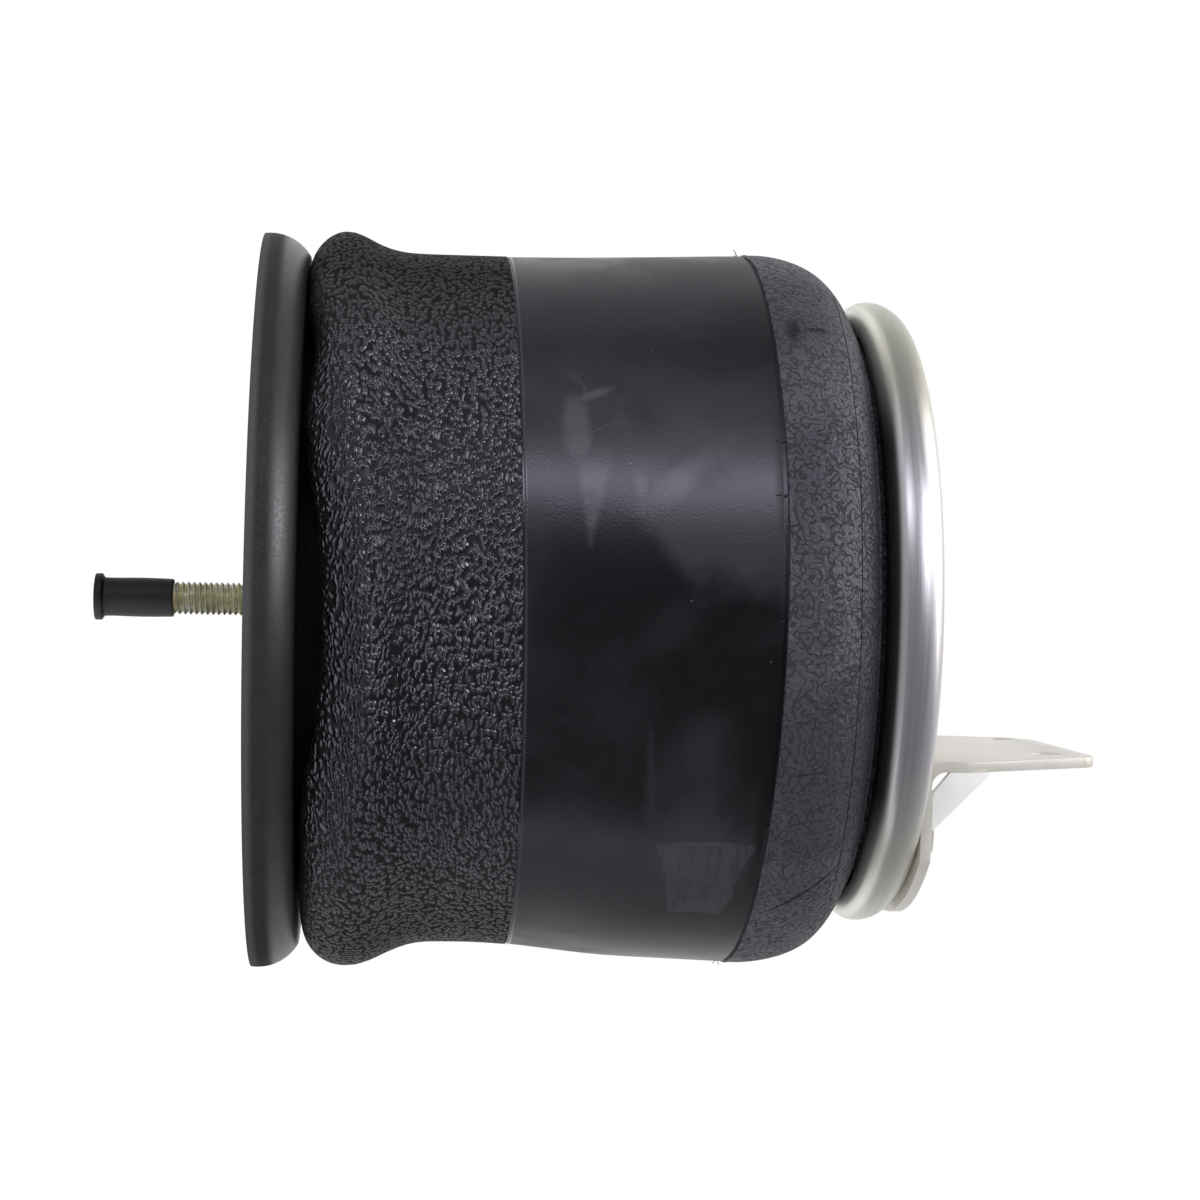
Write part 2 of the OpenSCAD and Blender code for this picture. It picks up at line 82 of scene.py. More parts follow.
# %% Camera
PHOTO_WIDTH_PX = 1200
FOCAL_LENGTH_PX = 2736
SENSOR_WIDTH_MM = 36
LEAN = math.radians(1.2)


def standing(place, side, up, ahead):
    """The matrix of a camera or lamp at that place, which looks ahead along its own -Z."""
    return Matrix((
        (side.x, up.x, -ahead.x, place[0]),
        (side.y, up.y, -ahead.y, place[1]),
        (side.z, up.z, -ahead.z, place[2]),
        (0, 0, 0, 1),
    ))


camera = bpy.data.objects.new("camera", bpy.data.cameras.new("camera"))
bpy.context.scene.collection.objects.link(camera)
bpy.context.scene.camera = camera
place = Vector((-0.01665, -0.7942, 0.03453))
target = Vector((-0.00175, 0, 0.09815))
ahead = (target - place).normalized()
right = ahead.cross(Vector((-1, 0, 0))).normalized()
up = right.cross(ahead)
right, up = (
    right * math.cos(LEAN) + up * math.sin(LEAN),
    up * math.cos(LEAN) - right * math.sin(LEAN),
)
camera.matrix_world = standing(place, right, up, ahead)
camera.data.sensor_width = SENSOR_WIDTH_MM
camera.data.lens = SENSOR_WIDTH_MM * FOCAL_LENGTH_PX / PHOTO_WIDTH_PX
print("lens:", round(camera.data.lens), "mm")

# %% [markdown]
# ## Node helpers
# A material is a tree of nodes. Each node could be made, set and joined line by line, but a finish of this object
# needs dozens, so one helper makes a node and joins all its inputs, and short ones stand for the commonest nodes.

# %% Node helpers
def feed(tree, socket, value):
    """Joins another node's output to the socket, or sets a plain value on it."""
    if isinstance(value, bpy.types.NodeSocket):
        tree.links.new(value, socket)
    else:
        socket.default_value = value


def add(tree, kind, inputs=None, **settings):
    made = tree.nodes.new(kind)
    for name, value in settings.items():
        setattr(made, name, value)
    for name, value in (inputs or {}).items():
        feed(tree, made.inputs[name], value)
    return made


def math_node(tree, operation, *values):
    made = add(tree, "ShaderNodeMath", operation=operation)
    for i, value in enumerate(values):
        feed(tree, made.inputs[i], value)
    return made.outputs[0]


def times(tree, value, factor):
    return math_node(tree, "MULTIPLY", value, factor)


def plus(tree, value, more):
    return math_node(tree, "ADD", value, more)


def minus(tree, value, less):
    return math_node(tree, "SUBTRACT", value, less)


def times_plus(tree, value, factor, more):
    return math_node(tree, "MULTIPLY_ADD", value, factor, more)


def most_of(tree, *values):
    most = values[0]
    for value in values[1:]:
        most = math_node(tree, "MAXIMUM", most, value)
    return most


def stretch(tree, value, low, high, to_low=0.0, to_high=1.0, smooth=True):
    """The value carried from one range to another, easing in and out, and held at both ends."""
    made = add(
        tree,
        "ShaderNodeMapRange",
        {"Value": value, "From Min": low, "From Max": high, "To Min": to_low, "To Max": to_high},
        interpolation_type="SMOOTHSTEP" if smooth else "LINEAR",
    )
    return made.outputs["Result"]


def thin_line(tree, value, at, half_width):
    """1 where the value passes that level and 0 elsewhere."""
    return stretch(tree, math_node(tree, "ABSOLUTE", minus(tree, value, at)), half_width, 0.0)


def mix_colour(tree, share, first, second):
    made = add(tree, "ShaderNodeMix", data_type="RGBA")
    for i, value in ((0, share), (6, first), (7, second)):
        feed(tree, made.inputs[i], value)
    return made.outputs[2]


print("node helpers ready")

# %% [markdown]
# ## Places and relief
# A rigid part's pattern can read Object coordinates. The sleeve's rubber moves when the lobe rolls, and there such
# a pattern would stand still while the rubber slid through it. So each mesh that is made here keeps a copy of its
# points' first places, and the rubber's patterns read that.

# %% Material helpers
REST_PLACE = "rest_place"


def object_coordinates(tree):
    return add(tree, "ShaderNodeTexCoord").outputs["Object"]


def rest_place(tree):
    return add(tree, "ShaderNodeAttribute", attribute_name=REST_PLACE).outputs["Vector"]


def apart(tree, vector):
    """A vector's X, Y and Z."""
    return add(tree, "ShaderNodeSeparateXYZ", {"Vector": vector}).outputs


def scaled(tree, vector, x, y, z):
    return add(tree, "ShaderNodeMapping", {"Vector": vector, "Scale": (x, y, z)}).outputs["Vector"]


def noise(tree, vector, scale=1.0, detail=0.0, **more):
    inputs = {"Vector": vector, "Scale": scale, "Detail": detail, **more}
    return add(tree, "ShaderNodeTexNoise", inputs).outputs["Fac"]


def pushed_about(tree, vector, wander_from, scale, reach):
    """The vector moved about by a slow noise, so that a pattern on it wanders."""
    wander = add(tree, "ShaderNodeTexNoise", {"Vector": wander_from, "Scale": scale, "Detail": 0.0})
    inputs = {0: wander.outputs["Color"], 1: reach, 2: vector}
    return add(tree, "ShaderNodeVectorMath", inputs, operation="MULTIPLY_ADD").outputs[0]


def new_material(name, **plain):
    made = bpy.data.materials.new(name)
    made.use_nodes = True
    tree = made.node_tree
    shader = tree.nodes["Principled BSDF"]
    for socket, value in plain.items():
        shader.inputs[socket.replace("_", " ")].default_value = value
    return made, tree, shader


def bump(tree, shader, height, distance, strength=1.0):
    made = add(tree, "ShaderNodeBump", {"Height": height, "Distance": distance, "Strength": strength})
    feed(tree, shader.inputs["Normal"], made.outputs["Normal"])


print("material helpers ready")

# %% [markdown]
# ## A place on the sleeve's skin
# A chalk mark sits at one spot of the sleeve, so the rubber's materials need to know how far round and how far up
# a point is. A UV map would do, but the sleeve is a turned shape, and an angle and a height say the same without
# a seam to hide. This is a node group: it is built once, and each material that uses it gets the same numbers.
# Round is in mm from the front at 100 mm from the axis, positive on the photograph's low side, and Along is the
# height in mm. Top and Bottom are 1 along the photograph's upper and lower outline and fade out towards the back.

# %% Sleeve skin
ROUND_R_MM = 100.0


def new_group(name, *outputs):
    group = bpy.data.node_groups.new(name, "ShaderNodeTree")
    for output in outputs:
        group.interface.new_socket(output, in_out="OUTPUT", socket_type="NodeSocketFloat")
    return group, add(group, "NodeGroupOutput").inputs


def use_group(tree, group):
    return add(tree, "ShaderNodeGroup", node_tree=group).outputs


sleeve_skin, skin_out = new_group("sleeve_skin", "Round", "Along", "Top", "Bottom")
spot = apart(sleeve_skin, rest_place(sleeve_skin))
turn = math_node(sleeve_skin, "ARCTAN2", spot["X"], times(sleeve_skin, spot["Y"], -1.0))
round_in_mm = times(sleeve_skin, turn, ROUND_R_MM)
feed(sleeve_skin, skin_out["Round"], round_in_mm)
feed(sleeve_skin, skin_out["Along"], times(sleeve_skin, spot["Z"], 1 / MM))
for side, sign in (("Top", -1.0), ("Bottom", 1.0)):
    away = times(sleeve_skin, round_in_mm, sign)
    edge = times(sleeve_skin, stretch(sleeve_skin, away, 60.0, 118.0), stretch(sleeve_skin, away, 280.0, 195.0))
    feed(sleeve_skin, skin_out[side], edge)
print("skin gives:", [socket.name for socket in skin_out if socket.name])

# %% [markdown]
# ## Grain of the lobe
# The lobe's mould was etched with short worms, raised and shiny, with dull valleys between them. Modelled worms
# would take millions of faces, and noise alone looks like sand. Smooth Voronoi cells on the flat skin, longer
# round it than along it and pushed about by noise, give worms of one width that run into each other.

# %% Worm grain
WORM_MM = (1.9, 1.2)

worm_grain, grain_out = new_group("worm_grain", "Height", "Valley")
spot = rest_place(worm_grain)
at = use_group(worm_grain, sleeve_skin)
flat = add(
    worm_grain,
    "ShaderNodeCombineXYZ",
    {
        "X": times(worm_grain, at["Round"], 1 / WORM_MM[0]),
        "Y": times(worm_grain, at["Along"], 1 / WORM_MM[1]),
    },
).outputs[0]
cells = add(
    worm_grain,
    "ShaderNodeTexVoronoi",
    {
        "Vector": pushed_about(worm_grain, flat, spot, 300.0, (1.4, 1.4, 0)),
        "Scale": 1.0,
        "Smoothness": 0.35,
        "Randomness": 1.0,
    },
    voronoi_dimensions="2D",
    feature="SMOOTH_F1",
).outputs["Distance"]
worms = stretch(worm_grain, cells, 0.66, 0.0)
feed(worm_grain, grain_out["Height"], times_plus(worm_grain, noise(worm_grain, spot, 1000.0), 0.05, worms))
feed(worm_grain, grain_out["Valley"], stretch(worm_grain, cells, 0.34, 0.6))
print("worms are", WORM_MM[0], "mm long and", WORM_MM[1], "mm wide")

# %% [markdown]
# ## Grain of the shoulder
# The shoulder has fine pebbles with a maze of thin sunk lines between them. Lines could come from cell borders,
# but these look like cracked mud. Level lines of a slow noise, as on a map, wind and close up as the real ones do.

# %% Maze grain
maze_grain, grain_out = new_group("maze_grain", "Height", "Line")
spot = rest_place(maze_grain)
moved = pushed_about(maze_grain, spot, spot, 700.0, (0.0008, 0.0008, 0.0008))
hills = noise(maze_grain, scaled(maze_grain, moved, 470, 470, 470))
lines = stretch(maze_grain, math_node(maze_grain, "SINE", times(maze_grain, hills, 17.0)), 0.5, 0.95)
pebbles = times(maze_grain, noise(maze_grain, spot, 700.0, 1.0), 1.6)
feed(maze_grain, grain_out["Height"], minus(maze_grain, pebbles, lines))
feed(maze_grain, grain_out["Line"], lines)
print("maze gives:", [socket.name for socket in grain_out if socket.name])

# %% [markdown]
# ## Dust
# Rubber holds fine powder, cloudy smears and single pale specks. Painted spots would look the same on each part,
# so two noises make the powder and the clouds, and one cell in ten of a Voronoi pattern holds a speck.

# %% Dust
dust, dust_out = new_group("dust", "Fine", "Cloud", "Specks")
spot = rest_place(dust)
powder = noise(dust, spot, 2300.0, 2.0, Roughness=0.7)
cloud = noise(dust, spot, 22.0, 4.0, Roughness=0.6, Distortion=0.4)
cells = add(dust, "ShaderNodeTexVoronoi", {"Vector": spot, "Scale": 260.0, "Randomness": 1.0}).outputs
cell_red = add(dust, "ShaderNodeSeparateColor", {"Color": cells["Color"]}).outputs[0]
chosen = math_node(dust, "GREATER_THAN", cell_red, 0.9)
feed(dust, dust_out["Fine"], stretch(dust, powder, 0.58, 0.78))
feed(dust, dust_out["Cloud"], stretch(dust, cloud, 0.38, 0.7))
feed(dust, dust_out["Specks"], times(dust, stretch(dust, cells["Distance"], 0.09, 0.04), chosen))
print("groups:", [group.name for group in bpy.data.node_groups])

# %% [markdown]
# ## Rubber of the lobe
# The sleeve is one moulding with three finishes, and the lobe's is black and glossy on its worms. One gloss all
# over would look wet. So the valleys are rougher and mirror less, and their black is darker, a painted shade in the
# hollows. The upper and lower outline are rougher and mirror less too, where the real grain is worn flat and looks
# grey. A violet tint on the mirrored light is this rubber's wax.

# %% Lobe rubber
VIOLET = (0.86, 0.84, 1.0, 1)
RIDGE_BLACK = (0.0115, 0.0110, 0.0120, 1)
VALLEY_SHADE_BLACK = (0.0070, 0.0067, 0.0076, 1)

lobe_rubber, tree, shader = new_material("lobe_rubber", IOR=1.75, Specular_Tint=VIOLET)
grain = use_group(tree, worm_grain)
at = use_group(tree, sleeve_skin)
# The valleys' darker black is painted shade: it stands in for the shade deep in the grain.
feed(tree, shader.inputs["Base Color"], mix_colour(tree, grain["Valley"], RIDGE_BLACK, VALLEY_SHADE_BLACK))
rougher = plus(tree, times(tree, at["Top"], 0.38), times(tree, at["Bottom"], 0.32))
roughness = plus(tree, stretch(tree, grain["Valley"], 0.0, 1.0, 0.16, 0.40), rougher)
feed(tree, shader.inputs["Roughness"], roughness)
shine = times_plus(tree, at["Bottom"], -0.8, times_plus(tree, at["Top"], -0.9, 1.0))
shine = times(tree, stretch(tree, grain["Valley"], 0.0, 1.0, 1.0, 0.3), shine)
feed(tree, shader.inputs["Specular IOR Level"], shine)
relief = times_plus(tree, at["Bottom"], -0.6, times_plus(tree, at["Top"], -0.65, 1.0))
bump(tree, shader, grain["Height"], 0.54 * MM, relief)
print("made", lobe_rubber.name)

# %% [markdown]
# ## Marks on the skin
# Handling leaves chalky ovals, streaks and torn patches on rubber. An image would hold them, but it would have to
# be painted and wrapped. Three small functions draw them instead, each from its place and size in mm on the skin,
# and a noise tears their edges, because a clean oval looks like a sticker.

# %% Mark helpers
def mark(tree, place, size, lean=0.0, edge=0.5, ragged=0.4, scale=90.0):
    """An oval with torn edges: 1 inside and 0 outside."""
    at = use_group(tree, sleeve_skin)
    along = minus(tree, at["Along"], place[1])
    leaned = times_plus(tree, along, lean, minus(tree, at["Round"], place[0]))
    flat = add(
        tree,
        "ShaderNodeCombineXYZ",
        {"X": math_node(tree, "DIVIDE", leaned, size[0]), "Y": math_node(tree, "DIVIDE", along, size[1])},
    ).outputs[0]
    reach = add(tree, "ShaderNodeVectorMath", {0: flat}, operation="LENGTH").outputs["Value"]
    torn = noise(tree, rest_place(tree), scale, 4.0, Roughness=0.65)
    outer = 1.0 + 0.5 * ragged
    return stretch(tree, times_plus(tree, torn, ragged, reach), outer, outer - edge)


def marks(tree, *rows):
    """The strongest of several ovals. Each row is a weight and then what an oval takes."""
    return most_of(tree, *(times(tree, mark(tree, *row[1:]), row[0]) for row in rows))


def panel(tree, place, size, taper, edge=1.2):
    """A patch with straight torn sides, narrower downwards by the taper: 1 inside and 0 outside."""
    at = use_group(tree, sleeve_skin)
    torn = minus(tree, noise(tree, rest_place(tree), 140.0, 4.0, Roughness=0.7), 0.5)
    down = minus(tree, at["Round"], place[0])
    across = math_node(tree, "ABSOLUTE", minus(tree, at["Along"], place[1]))
    across = times_plus(tree, torn, 5.0, times_plus(tree, down, taper, across))
    down = times_plus(tree, torn, 4.0, math_node(tree, "ABSOLUTE", down))
    inside = [stretch(tree, off, half, half - edge) for off, half in ((across, size[1]), (down, size[0]))]
    return times(tree, *inside)


def wedge(tree, tip, length, half_width, lean, soft=1.2):
    """A streak that starts as a point at the tip and widens upwards, or downwards with a negative length."""
    at = use_group(tree, sleeve_skin)
    up_from_tip = minus(tree, tip[0], at["Round"])
    share = math_node(tree, "DIVIDE", up_from_tip, length)
    along = minus(tree, minus(tree, at["Along"], tip[1]), times(tree, up_from_tip, lean))
    beyond = minus(tree, math_node(tree, "ABSOLUTE", along), times(tree, share, half_width))
    ends = times(tree, stretch(tree, share, 0.0, 0.1), stretch(tree, share, 1.0, 0.6))
    torn = noise(tree, scaled(tree, rest_place(tree), 240, 240, 60), 1.0, 4.0, Roughness=0.7)
    inside = times(tree, stretch(tree, beyond, soft, -soft), stretch(tree, torn, 0.3, 0.62, 0.35, 1.0))
    return times(tree, inside, ends)


print("mark helpers ready")

# %% [markdown]
# ## Rubber of the shoulder
# The shoulder is duller and greyer than the rest, because its fine grain holds powder. Two places near the top
# are wiped clean, and an overlap in the rubber shows as a dark slanting line. One grey would be flat, so the tone
# wavers with the dust's clouds, and the sunk lines are rougher and painted darker, a painted shade in them.

# %% Shoulder rubber
shoulder_rubber, tree, shader = new_material("shoulder_rubber", Specular_IOR_Level=0.7, Specular_Tint=VIOLET)
grain = use_group(tree, maze_grain)
soil = use_group(tree, dust)
wiped = marks(
    tree,
    (1.0, (-84.0, 143.0), (7.0, 3.0), 0.3, 0.7, 0.6, 300.0),
    (0.8, (-86.0, 150.0), (1.5, 7.0), 0.3, 0.7, 0.5, 300.0),
)
overlap = marks(
    tree,
    (0.9, (82.0, 150.5), (1.0, 13.0), 0.72, 0.5, 0.3, 200.0),
    (0.5, (41.0, 147.0), (0.5, 7.0), 0.05, 0.5, 0.3, 300.0),
)
tone = mix_colour(tree, soil["Cloud"], (0.054, 0.050, 0.064, 1), (0.092, 0.087, 0.102, 1))
# The sunk lines' darker colour is painted shade in the grooves.
tone = mix_colour(tree, times(tree, grain["Line"], 0.6), tone, (0.014, 0.013, 0.017, 1))
tone = mix_colour(tree, times(tree, soil["Specks"], 0.5), tone, (0.2, 0.2, 0.2, 1))
tone = mix_colour(tree, times(tree, wiped, 0.85), tone, (0.003, 0.0028, 0.0042, 1))
tone = mix_colour(tree, overlap, tone, (0.003, 0.003, 0.003, 1))
feed(tree, shader.inputs["Base Color"], tone)
feed(tree, shader.inputs["Roughness"], stretch(tree, grain["Line"], 0.0, 1.0, 0.46, 0.75))
bump(tree, shader, grain["Height"], 0.45 * MM)
print("made", shoulder_rubber.name)

# %% [markdown]
# ## Rubber of the band
# The band between them is smooth and satin. Its marks come first, as masks: a pale bloom that ends in an uneven
# edge, partly wax bloom and partly a painted highlight where the key's light falls, chalk where it was gripped,
# and a torn pale patch near the lower side. One mask for all would be shorter, but separate ones let each kind
# have its own strength.

# %% Marks on the band
band_rubber, tree, shader = new_material("band_rubber", Specular_IOR_Level=1.0, Specular_Tint=VIOLET)
spot = rest_place(tree)
at = use_group(tree, sleeve_skin)
uneven = minus(tree, noise(tree, spot, 45.0, 4.0, Roughness=0.6), 0.5)
# The bloom is partly a painted highlight: it lies where the band's highlight falls, and its uneven lower edge is that
# highlight's edge.
edge_at = stretch(tree, at["Along"], 96.0, 116.0, -27.0, -7.0)
below_edge = times_plus(tree, uneven, 26.0, minus(tree, at["Round"], edge_at))
bloom_and_highlight = times(tree, stretch(tree, below_edge, 4.0, -9.0), stretch(tree, at["Round"], -88.0, -34.0))
curls = thin_line(tree, noise(tree, pushed_about(tree, spot, spot, 60.0, (0.006, 0.006, 0.006)), 60.0, 1.0), 0.5, 0.02)
handled = mark(tree, (-52.0, 88.0), (24.0, 14.0), -0.6, 0.9, 0.5, 60.0)
chalk = most_of(
    tree,
    marks(
        tree,
        (0.75, (-50.0, 84.0), (13.0, 4.8), -0.6, 0.6, 0.7, 130.0),
        (0.8, (-60.0, 88.5), (2.2, 7.0), 0.4, 0.8, 0.6, 130.0),
        (0.8, (-36.0, 112.0), (7.0, 14.0), 0.75, 0.9, 0.9, 70.0),
    ),
    times(tree, times(tree, curls, handled), 0.4),
    times(tree, wedge(tree, (-15.5, 87.4), 31.0, 5.2, 0.05), 0.95),
    times(tree, wedge(tree, (-24.5, 101.2), 16.0, 2.2, -0.08), 0.8),
    times(tree, wedge(tree, (26.0, 104.0), -34.0, 2.0, -0.05), 0.3),
)
streaky = stretch(tree, noise(tree, scaled(tree, spot, 50, 50, 420), 1.0, 3.0, Roughness=0.7), 0.3, 0.6, 0.3, 1.0)
patch = most_of(
    tree,
    times(tree, panel(tree, (78.0, 120.5), (15.0, 10.5), 0.22), streaky),
    marks(
        tree,
        (1.2, (63.5, 120.0), (0.9, 12.5), 0.03, 0.5, 0.3, 200.0),
        (1.1, (88.0, 122.0), (1.2, 7.0), 0.1, 0.5, 0.4, 200.0),
        (0.42, (66.0, 117.0), (30.0, 15.0), 0.5, 0.8, 0.8, 26.0),
        (0.3, (3.0, 108.0), (10.0, 13.0), 0.5, 0.95, 0.9, 34.0),
        (0.3, (36.0, 116.0), (16.0, 16.0), 0.5, 0.95, 0.9, 30.0),
    ),
)
print("masks on the band: bloom, chalk, patch")

# %% [markdown]
# The border between lobe and band wanders: it bends by the share across, which is -1 at the photograph's upper
# outline, 0 at the front and 1 at the lower. A strip beside it is polished and painted paler, a painted highlight
# along the border. The masks add up to how pale the rubber is, with a painted sheen along the upper outline, and
# a single ragged nick near the lower outline is almost black.

# %% Band rubber
BORDER_SLOPE, BORDER_BEND = 1.6, -0.6

soil = use_group(tree, dust)
across = math_node(tree, "SINE", times(tree, at["Round"], 1 / ROUND_R_MM))
border_rise_mm = times(tree, across, times_plus(tree, across, BORDER_BEND, BORDER_SLOPE))
# Besides making the strip by the border smoother, this mask paints it paler: a painted highlight along the border.
near_border = stretch(tree, minus(tree, at["Along"], border_rise_mm), 72.0, 71.7)
# pale holds painted light as well as marks: the paler strip by the border is a painted highlight, the Top term a
# painted sheen along the upper outline, and the bloom partly a painted highlight.
pale = plus(
    tree,
    plus(
        tree,
        times_plus(tree, near_border, 0.25, times(tree, soil["Cloud"], 0.03)),
        math_node(tree, "MAXIMUM", times(tree, bloom_and_highlight, 0.26), times(tree, at["Top"], 0.10)),
    ),
    plus(tree, times(tree, chalk, 0.42), times(tree, patch, 0.24)),
)
nick = mark(tree, (130.0, 96.0), (2.5, 5.0), 0.0, 0.4, 0.9, 300.0)
tone = mix_colour(tree, pale, (0.0034, 0.0031, 0.0039, 1), (0.120, 0.116, 0.131, 1))
tone = mix_colour(tree, times(tree, soil["Fine"], 0.04), tone, (0.12, 0.12, 0.12, 1))
tone = mix_colour(tree, times(tree, soil["Specks"], 0.35), tone, (0.25, 0.25, 0.25, 1))
tone = mix_colour(tree, nick, tone, (0.002, 0.002, 0.002, 1))
feed(tree, shader.inputs["Base Color"], tone)
satin = stretch(tree, soil["Cloud"], 0.0, 1.0, 0.30, 0.44)
feed(tree, shader.inputs["Roughness"], times_plus(tree, near_border, -0.17, satin))
bump(tree, shader, noise(tree, spot, 1500.0, 3.0), 0.04 * MM)
print("made", band_rubber.name)

# %% [markdown]
# ## The black moulding
# The piston is glass-filled plastic. Its base shines softly, its lowest edge is scuffed rougher and its lowest
# 3 mm is a lighter grey, and its wall behind the lobe sees no light. A second gloss layer, the coat, gives the broad
# soft shine over the fine one. Masks by height switch it off on the scuffed edge and in the gap.

# %% Moulded piston
piston_black, tree, shader = new_material("piston_black", Coat_Roughness=0.44, Coat_IOR=2.1)
spot = object_coordinates(tree)
height_up = apart(tree, spot)["Z"]
scuffed = stretch(tree, height_up, 0.008, 0.0045)
# The lowest 3 mm of the base is made a lighter grey here.
lowest_edge_lighter = stretch(tree, height_up, 0.0030, 0.0010)
in_the_gap = stretch(tree, height_up, 0.0125, 0.0150)
waver = stretch(tree, noise(tree, spot, 130.0, 3.0), 0.35, 0.65)
tone = mix_colour(tree, waver, (0.009, 0.0086, 0.0098, 1), (0.013, 0.0124, 0.0142, 1))
tone = mix_colour(tree, times(tree, lowest_edge_lighter, 0.8), tone, (0.07, 0.067, 0.072, 1))
feed(tree, shader.inputs["Base Color"], tone)
speckle = stretch(tree, noise(tree, spot, 1400.0, 2.0), 0.3, 0.7, 0.34, 0.58)
dull_below = times(tree, use_group(tree, sleeve_skin)["Bottom"], 0.2)
feed(tree, shader.inputs["Roughness"], plus(tree, dull_below, times_plus(tree, scuffed, 0.3, speckle)))
coat = times(tree, stretch(tree, scuffed, 0.0, 1.0, 1.0, 0.0), stretch(tree, in_the_gap, 0.0, 1.0, 1.0, 0.0))
feed(tree, shader.inputs["Coat Weight"], coat)
feed(tree, shader.inputs["Specular IOR Level"], stretch(tree, in_the_gap, 0.0, 1.0, 1.0, 0.1))
bump(tree, shader, noise(tree, spot, 1100.0, 3.0), 0.08 * MM)
print("made", piston_black.name)

# %% [markdown]
# ## Vinyl, hidden rubber and plain metals
# The stud's cap is dipped vinyl, painted a little paler on its +X side as a painted glow of light from below. The
# other parts have one finish all over, yet no real surface is one even colour. One function makes them all: it
# wavers between two colours and two roughnesses, and it adds a fine relief.

# %% Vinyl and plain finishes
cap_vinyl, tree, shader = new_material("cap_vinyl", Roughness=0.5)
spot = object_coordinates(tree)
# The +X side is painted paler: a painted glow of light from below, not the vinyl's own colour.
floor_side_painted_light = stretch(tree, apart(tree, spot)["X"], -0.001, 0.005)
tone = mix_colour(tree, floor_side_painted_light, (0.011, 0.010, 0.0125, 1), (0.080, 0.076, 0.088, 1))
feed(tree, shader.inputs["Base Color"], tone)
bump(tree, shader, noise(tree, spot, 1500.0, 3.0), 0.05 * MM)


def plain_finish(name, colours, roughness, grain_scale, depth, **plain):
    material, tree, shader = new_material(name, **plain)
    spot = object_coordinates(tree)
    waver = noise(tree, spot, grain_scale * 0.12, 3.0)
    feed(tree, shader.inputs["Base Color"], mix_colour(tree, stretch(tree, waver, 0.35, 0.65), *colours))
    feed(tree, shader.inputs["Roughness"], stretch(tree, waver, 0.35, 0.65, *roughness))
    bump(tree, shader, noise(tree, spot, grain_scale, 3.0), depth)
    return material


plain_rubber = plain_finish(
    "plain_rubber", ((0.008, 0.008, 0.009, 1), (0.014, 0.014, 0.015, 1)), (0.55, 0.7), 700.0, 0.06 * MM
)
# The gussets get a near-white finish that is not metal: a painted reflection. As metal facing the camera they would
# mirror the dark studio.
gusset_zinc_painted_bright = plain_finish(
    "gusset_zinc_painted_bright", ((0.92, 0.92, 0.92, 1), (0.97, 0.97, 0.97, 1)), (0.35, 0.5), 900.0, 0.03 * MM
)
bracket_zinc = plain_finish(
    "bracket_zinc",
    ((0.745, 0.71, 0.655, 1), (0.79, 0.765, 0.72, 1)),
    (0.30, 0.44),
    900.0,
    0.03 * MM,
    Metallic=0.25,
)
plain_steel = plain_finish(
    "plain_steel", ((0.42, 0.41, 0.40, 1), (0.6, 0.59, 0.57, 1)), (0.3, 0.42), 900.0, 0.04 * MM, Metallic=1.0
)
print("plain finishes: 4")

# %% [markdown]
# ## Zinc of the rim
# The plate is spun on a lathe and plated, so fine rings run round its rim. Rings could be modelled, but they are
# finer than a hair: a noise stretched flat, which changes fast along Z and slowly round it, gives them. The side
# that curls in under the bead is in the rubber's own shade, and that shade is painted dark on it. The front is
# painted a cooler white, a painted reflection.

# %% Rim zinc
rim_zinc, tree, shader = new_material("rim_zinc", Metallic=0.9)
spot = object_coordinates(tree)
at = apart(tree, spot)
rings = noise(tree, scaled(tree, spot, 14, 14, 1900), 1.0, 3.0)
cloud = stretch(tree, noise(tree, spot, 26.0, 3.0), 0.35, 0.65)
tone = mix_colour(tree, cloud, (0.84, 0.83, 0.74, 1), (0.90, 0.90, 0.84, 1))
# The front, towards the camera, is painted a cooler white: a painted reflection of the key's light.
tone = mix_colour(tree, stretch(tree, at["Y"], -0.060, -0.082), tone, (0.92, 0.90, 0.96, 1))
# The curl under the bead is painted dark at mid height: painted shade from the rubber beside it.
mid_height = stretch(tree, math_node(tree, "ABSOLUTE", at["X"]), 0.080, 0.045)
curl_painted_shade = times(tree, stretch(tree, at["Z"], 0.1722, 0.1692), mid_height)
tone = mix_colour(tree, curl_painted_shade, tone, (0.085, 0.083, 0.082, 1))
feed(tree, shader.inputs["Base Color"], tone)
feed(tree, shader.inputs["Roughness"], stretch(tree, rings, 0.3, 0.7, 0.30, 0.41))
bump(tree, shader, rings, 0.025 * MM)
print("made", rim_zinc.name)

# %% [markdown]
# ## Yellow zinc and bead wire
# Yellow plating shows a thin film's colours, from green over gold to nearly white. A true film shader is slow and
# doesn't export, and a colour ramp over a noise gives the same patches. The bead's hoop is wound from brass-plated
# wire, and a noise stretched along Z draws its turns.

# %% Yellow zinc and bead wire
yellow_zinc, tree, shader = new_material("yellow_zinc", Metallic=0.75, Roughness=0.3)
film = noise(tree, object_coordinates(tree), 420.0, 2.0)
ramp = add(tree, "ShaderNodeValToRGB", {"Fac": film})
green, white = ramp.color_ramp.elements
green.position, green.color = 0.3, (0.52, 0.56, 0.40, 1)
white.position, white.color = 0.72, (0.90, 0.90, 0.86, 1)
ramp.color_ramp.elements.new(0.5).color = (0.76, 0.72, 0.50, 1)
feed(tree, shader.inputs["Base Color"], ramp.outputs["Color"])
bump(tree, shader, film, 0.04 * MM)

bead_wire, tree, shader = new_material("bead_wire", Metallic=1.0, Roughness=0.35)
windings = noise(tree, scaled(tree, object_coordinates(tree), 60, 60, 1400), 1.0, 1.0)
tone = mix_colour(tree, windings, (0.36, 0.24, 0.10, 1), (0.6, 0.44, 0.22, 1))
feed(tree, shader.inputs["Base Color"], tone)
bump(tree, shader, windings, 0.1 * MM)
print("materials:", len(bpy.data.materials))

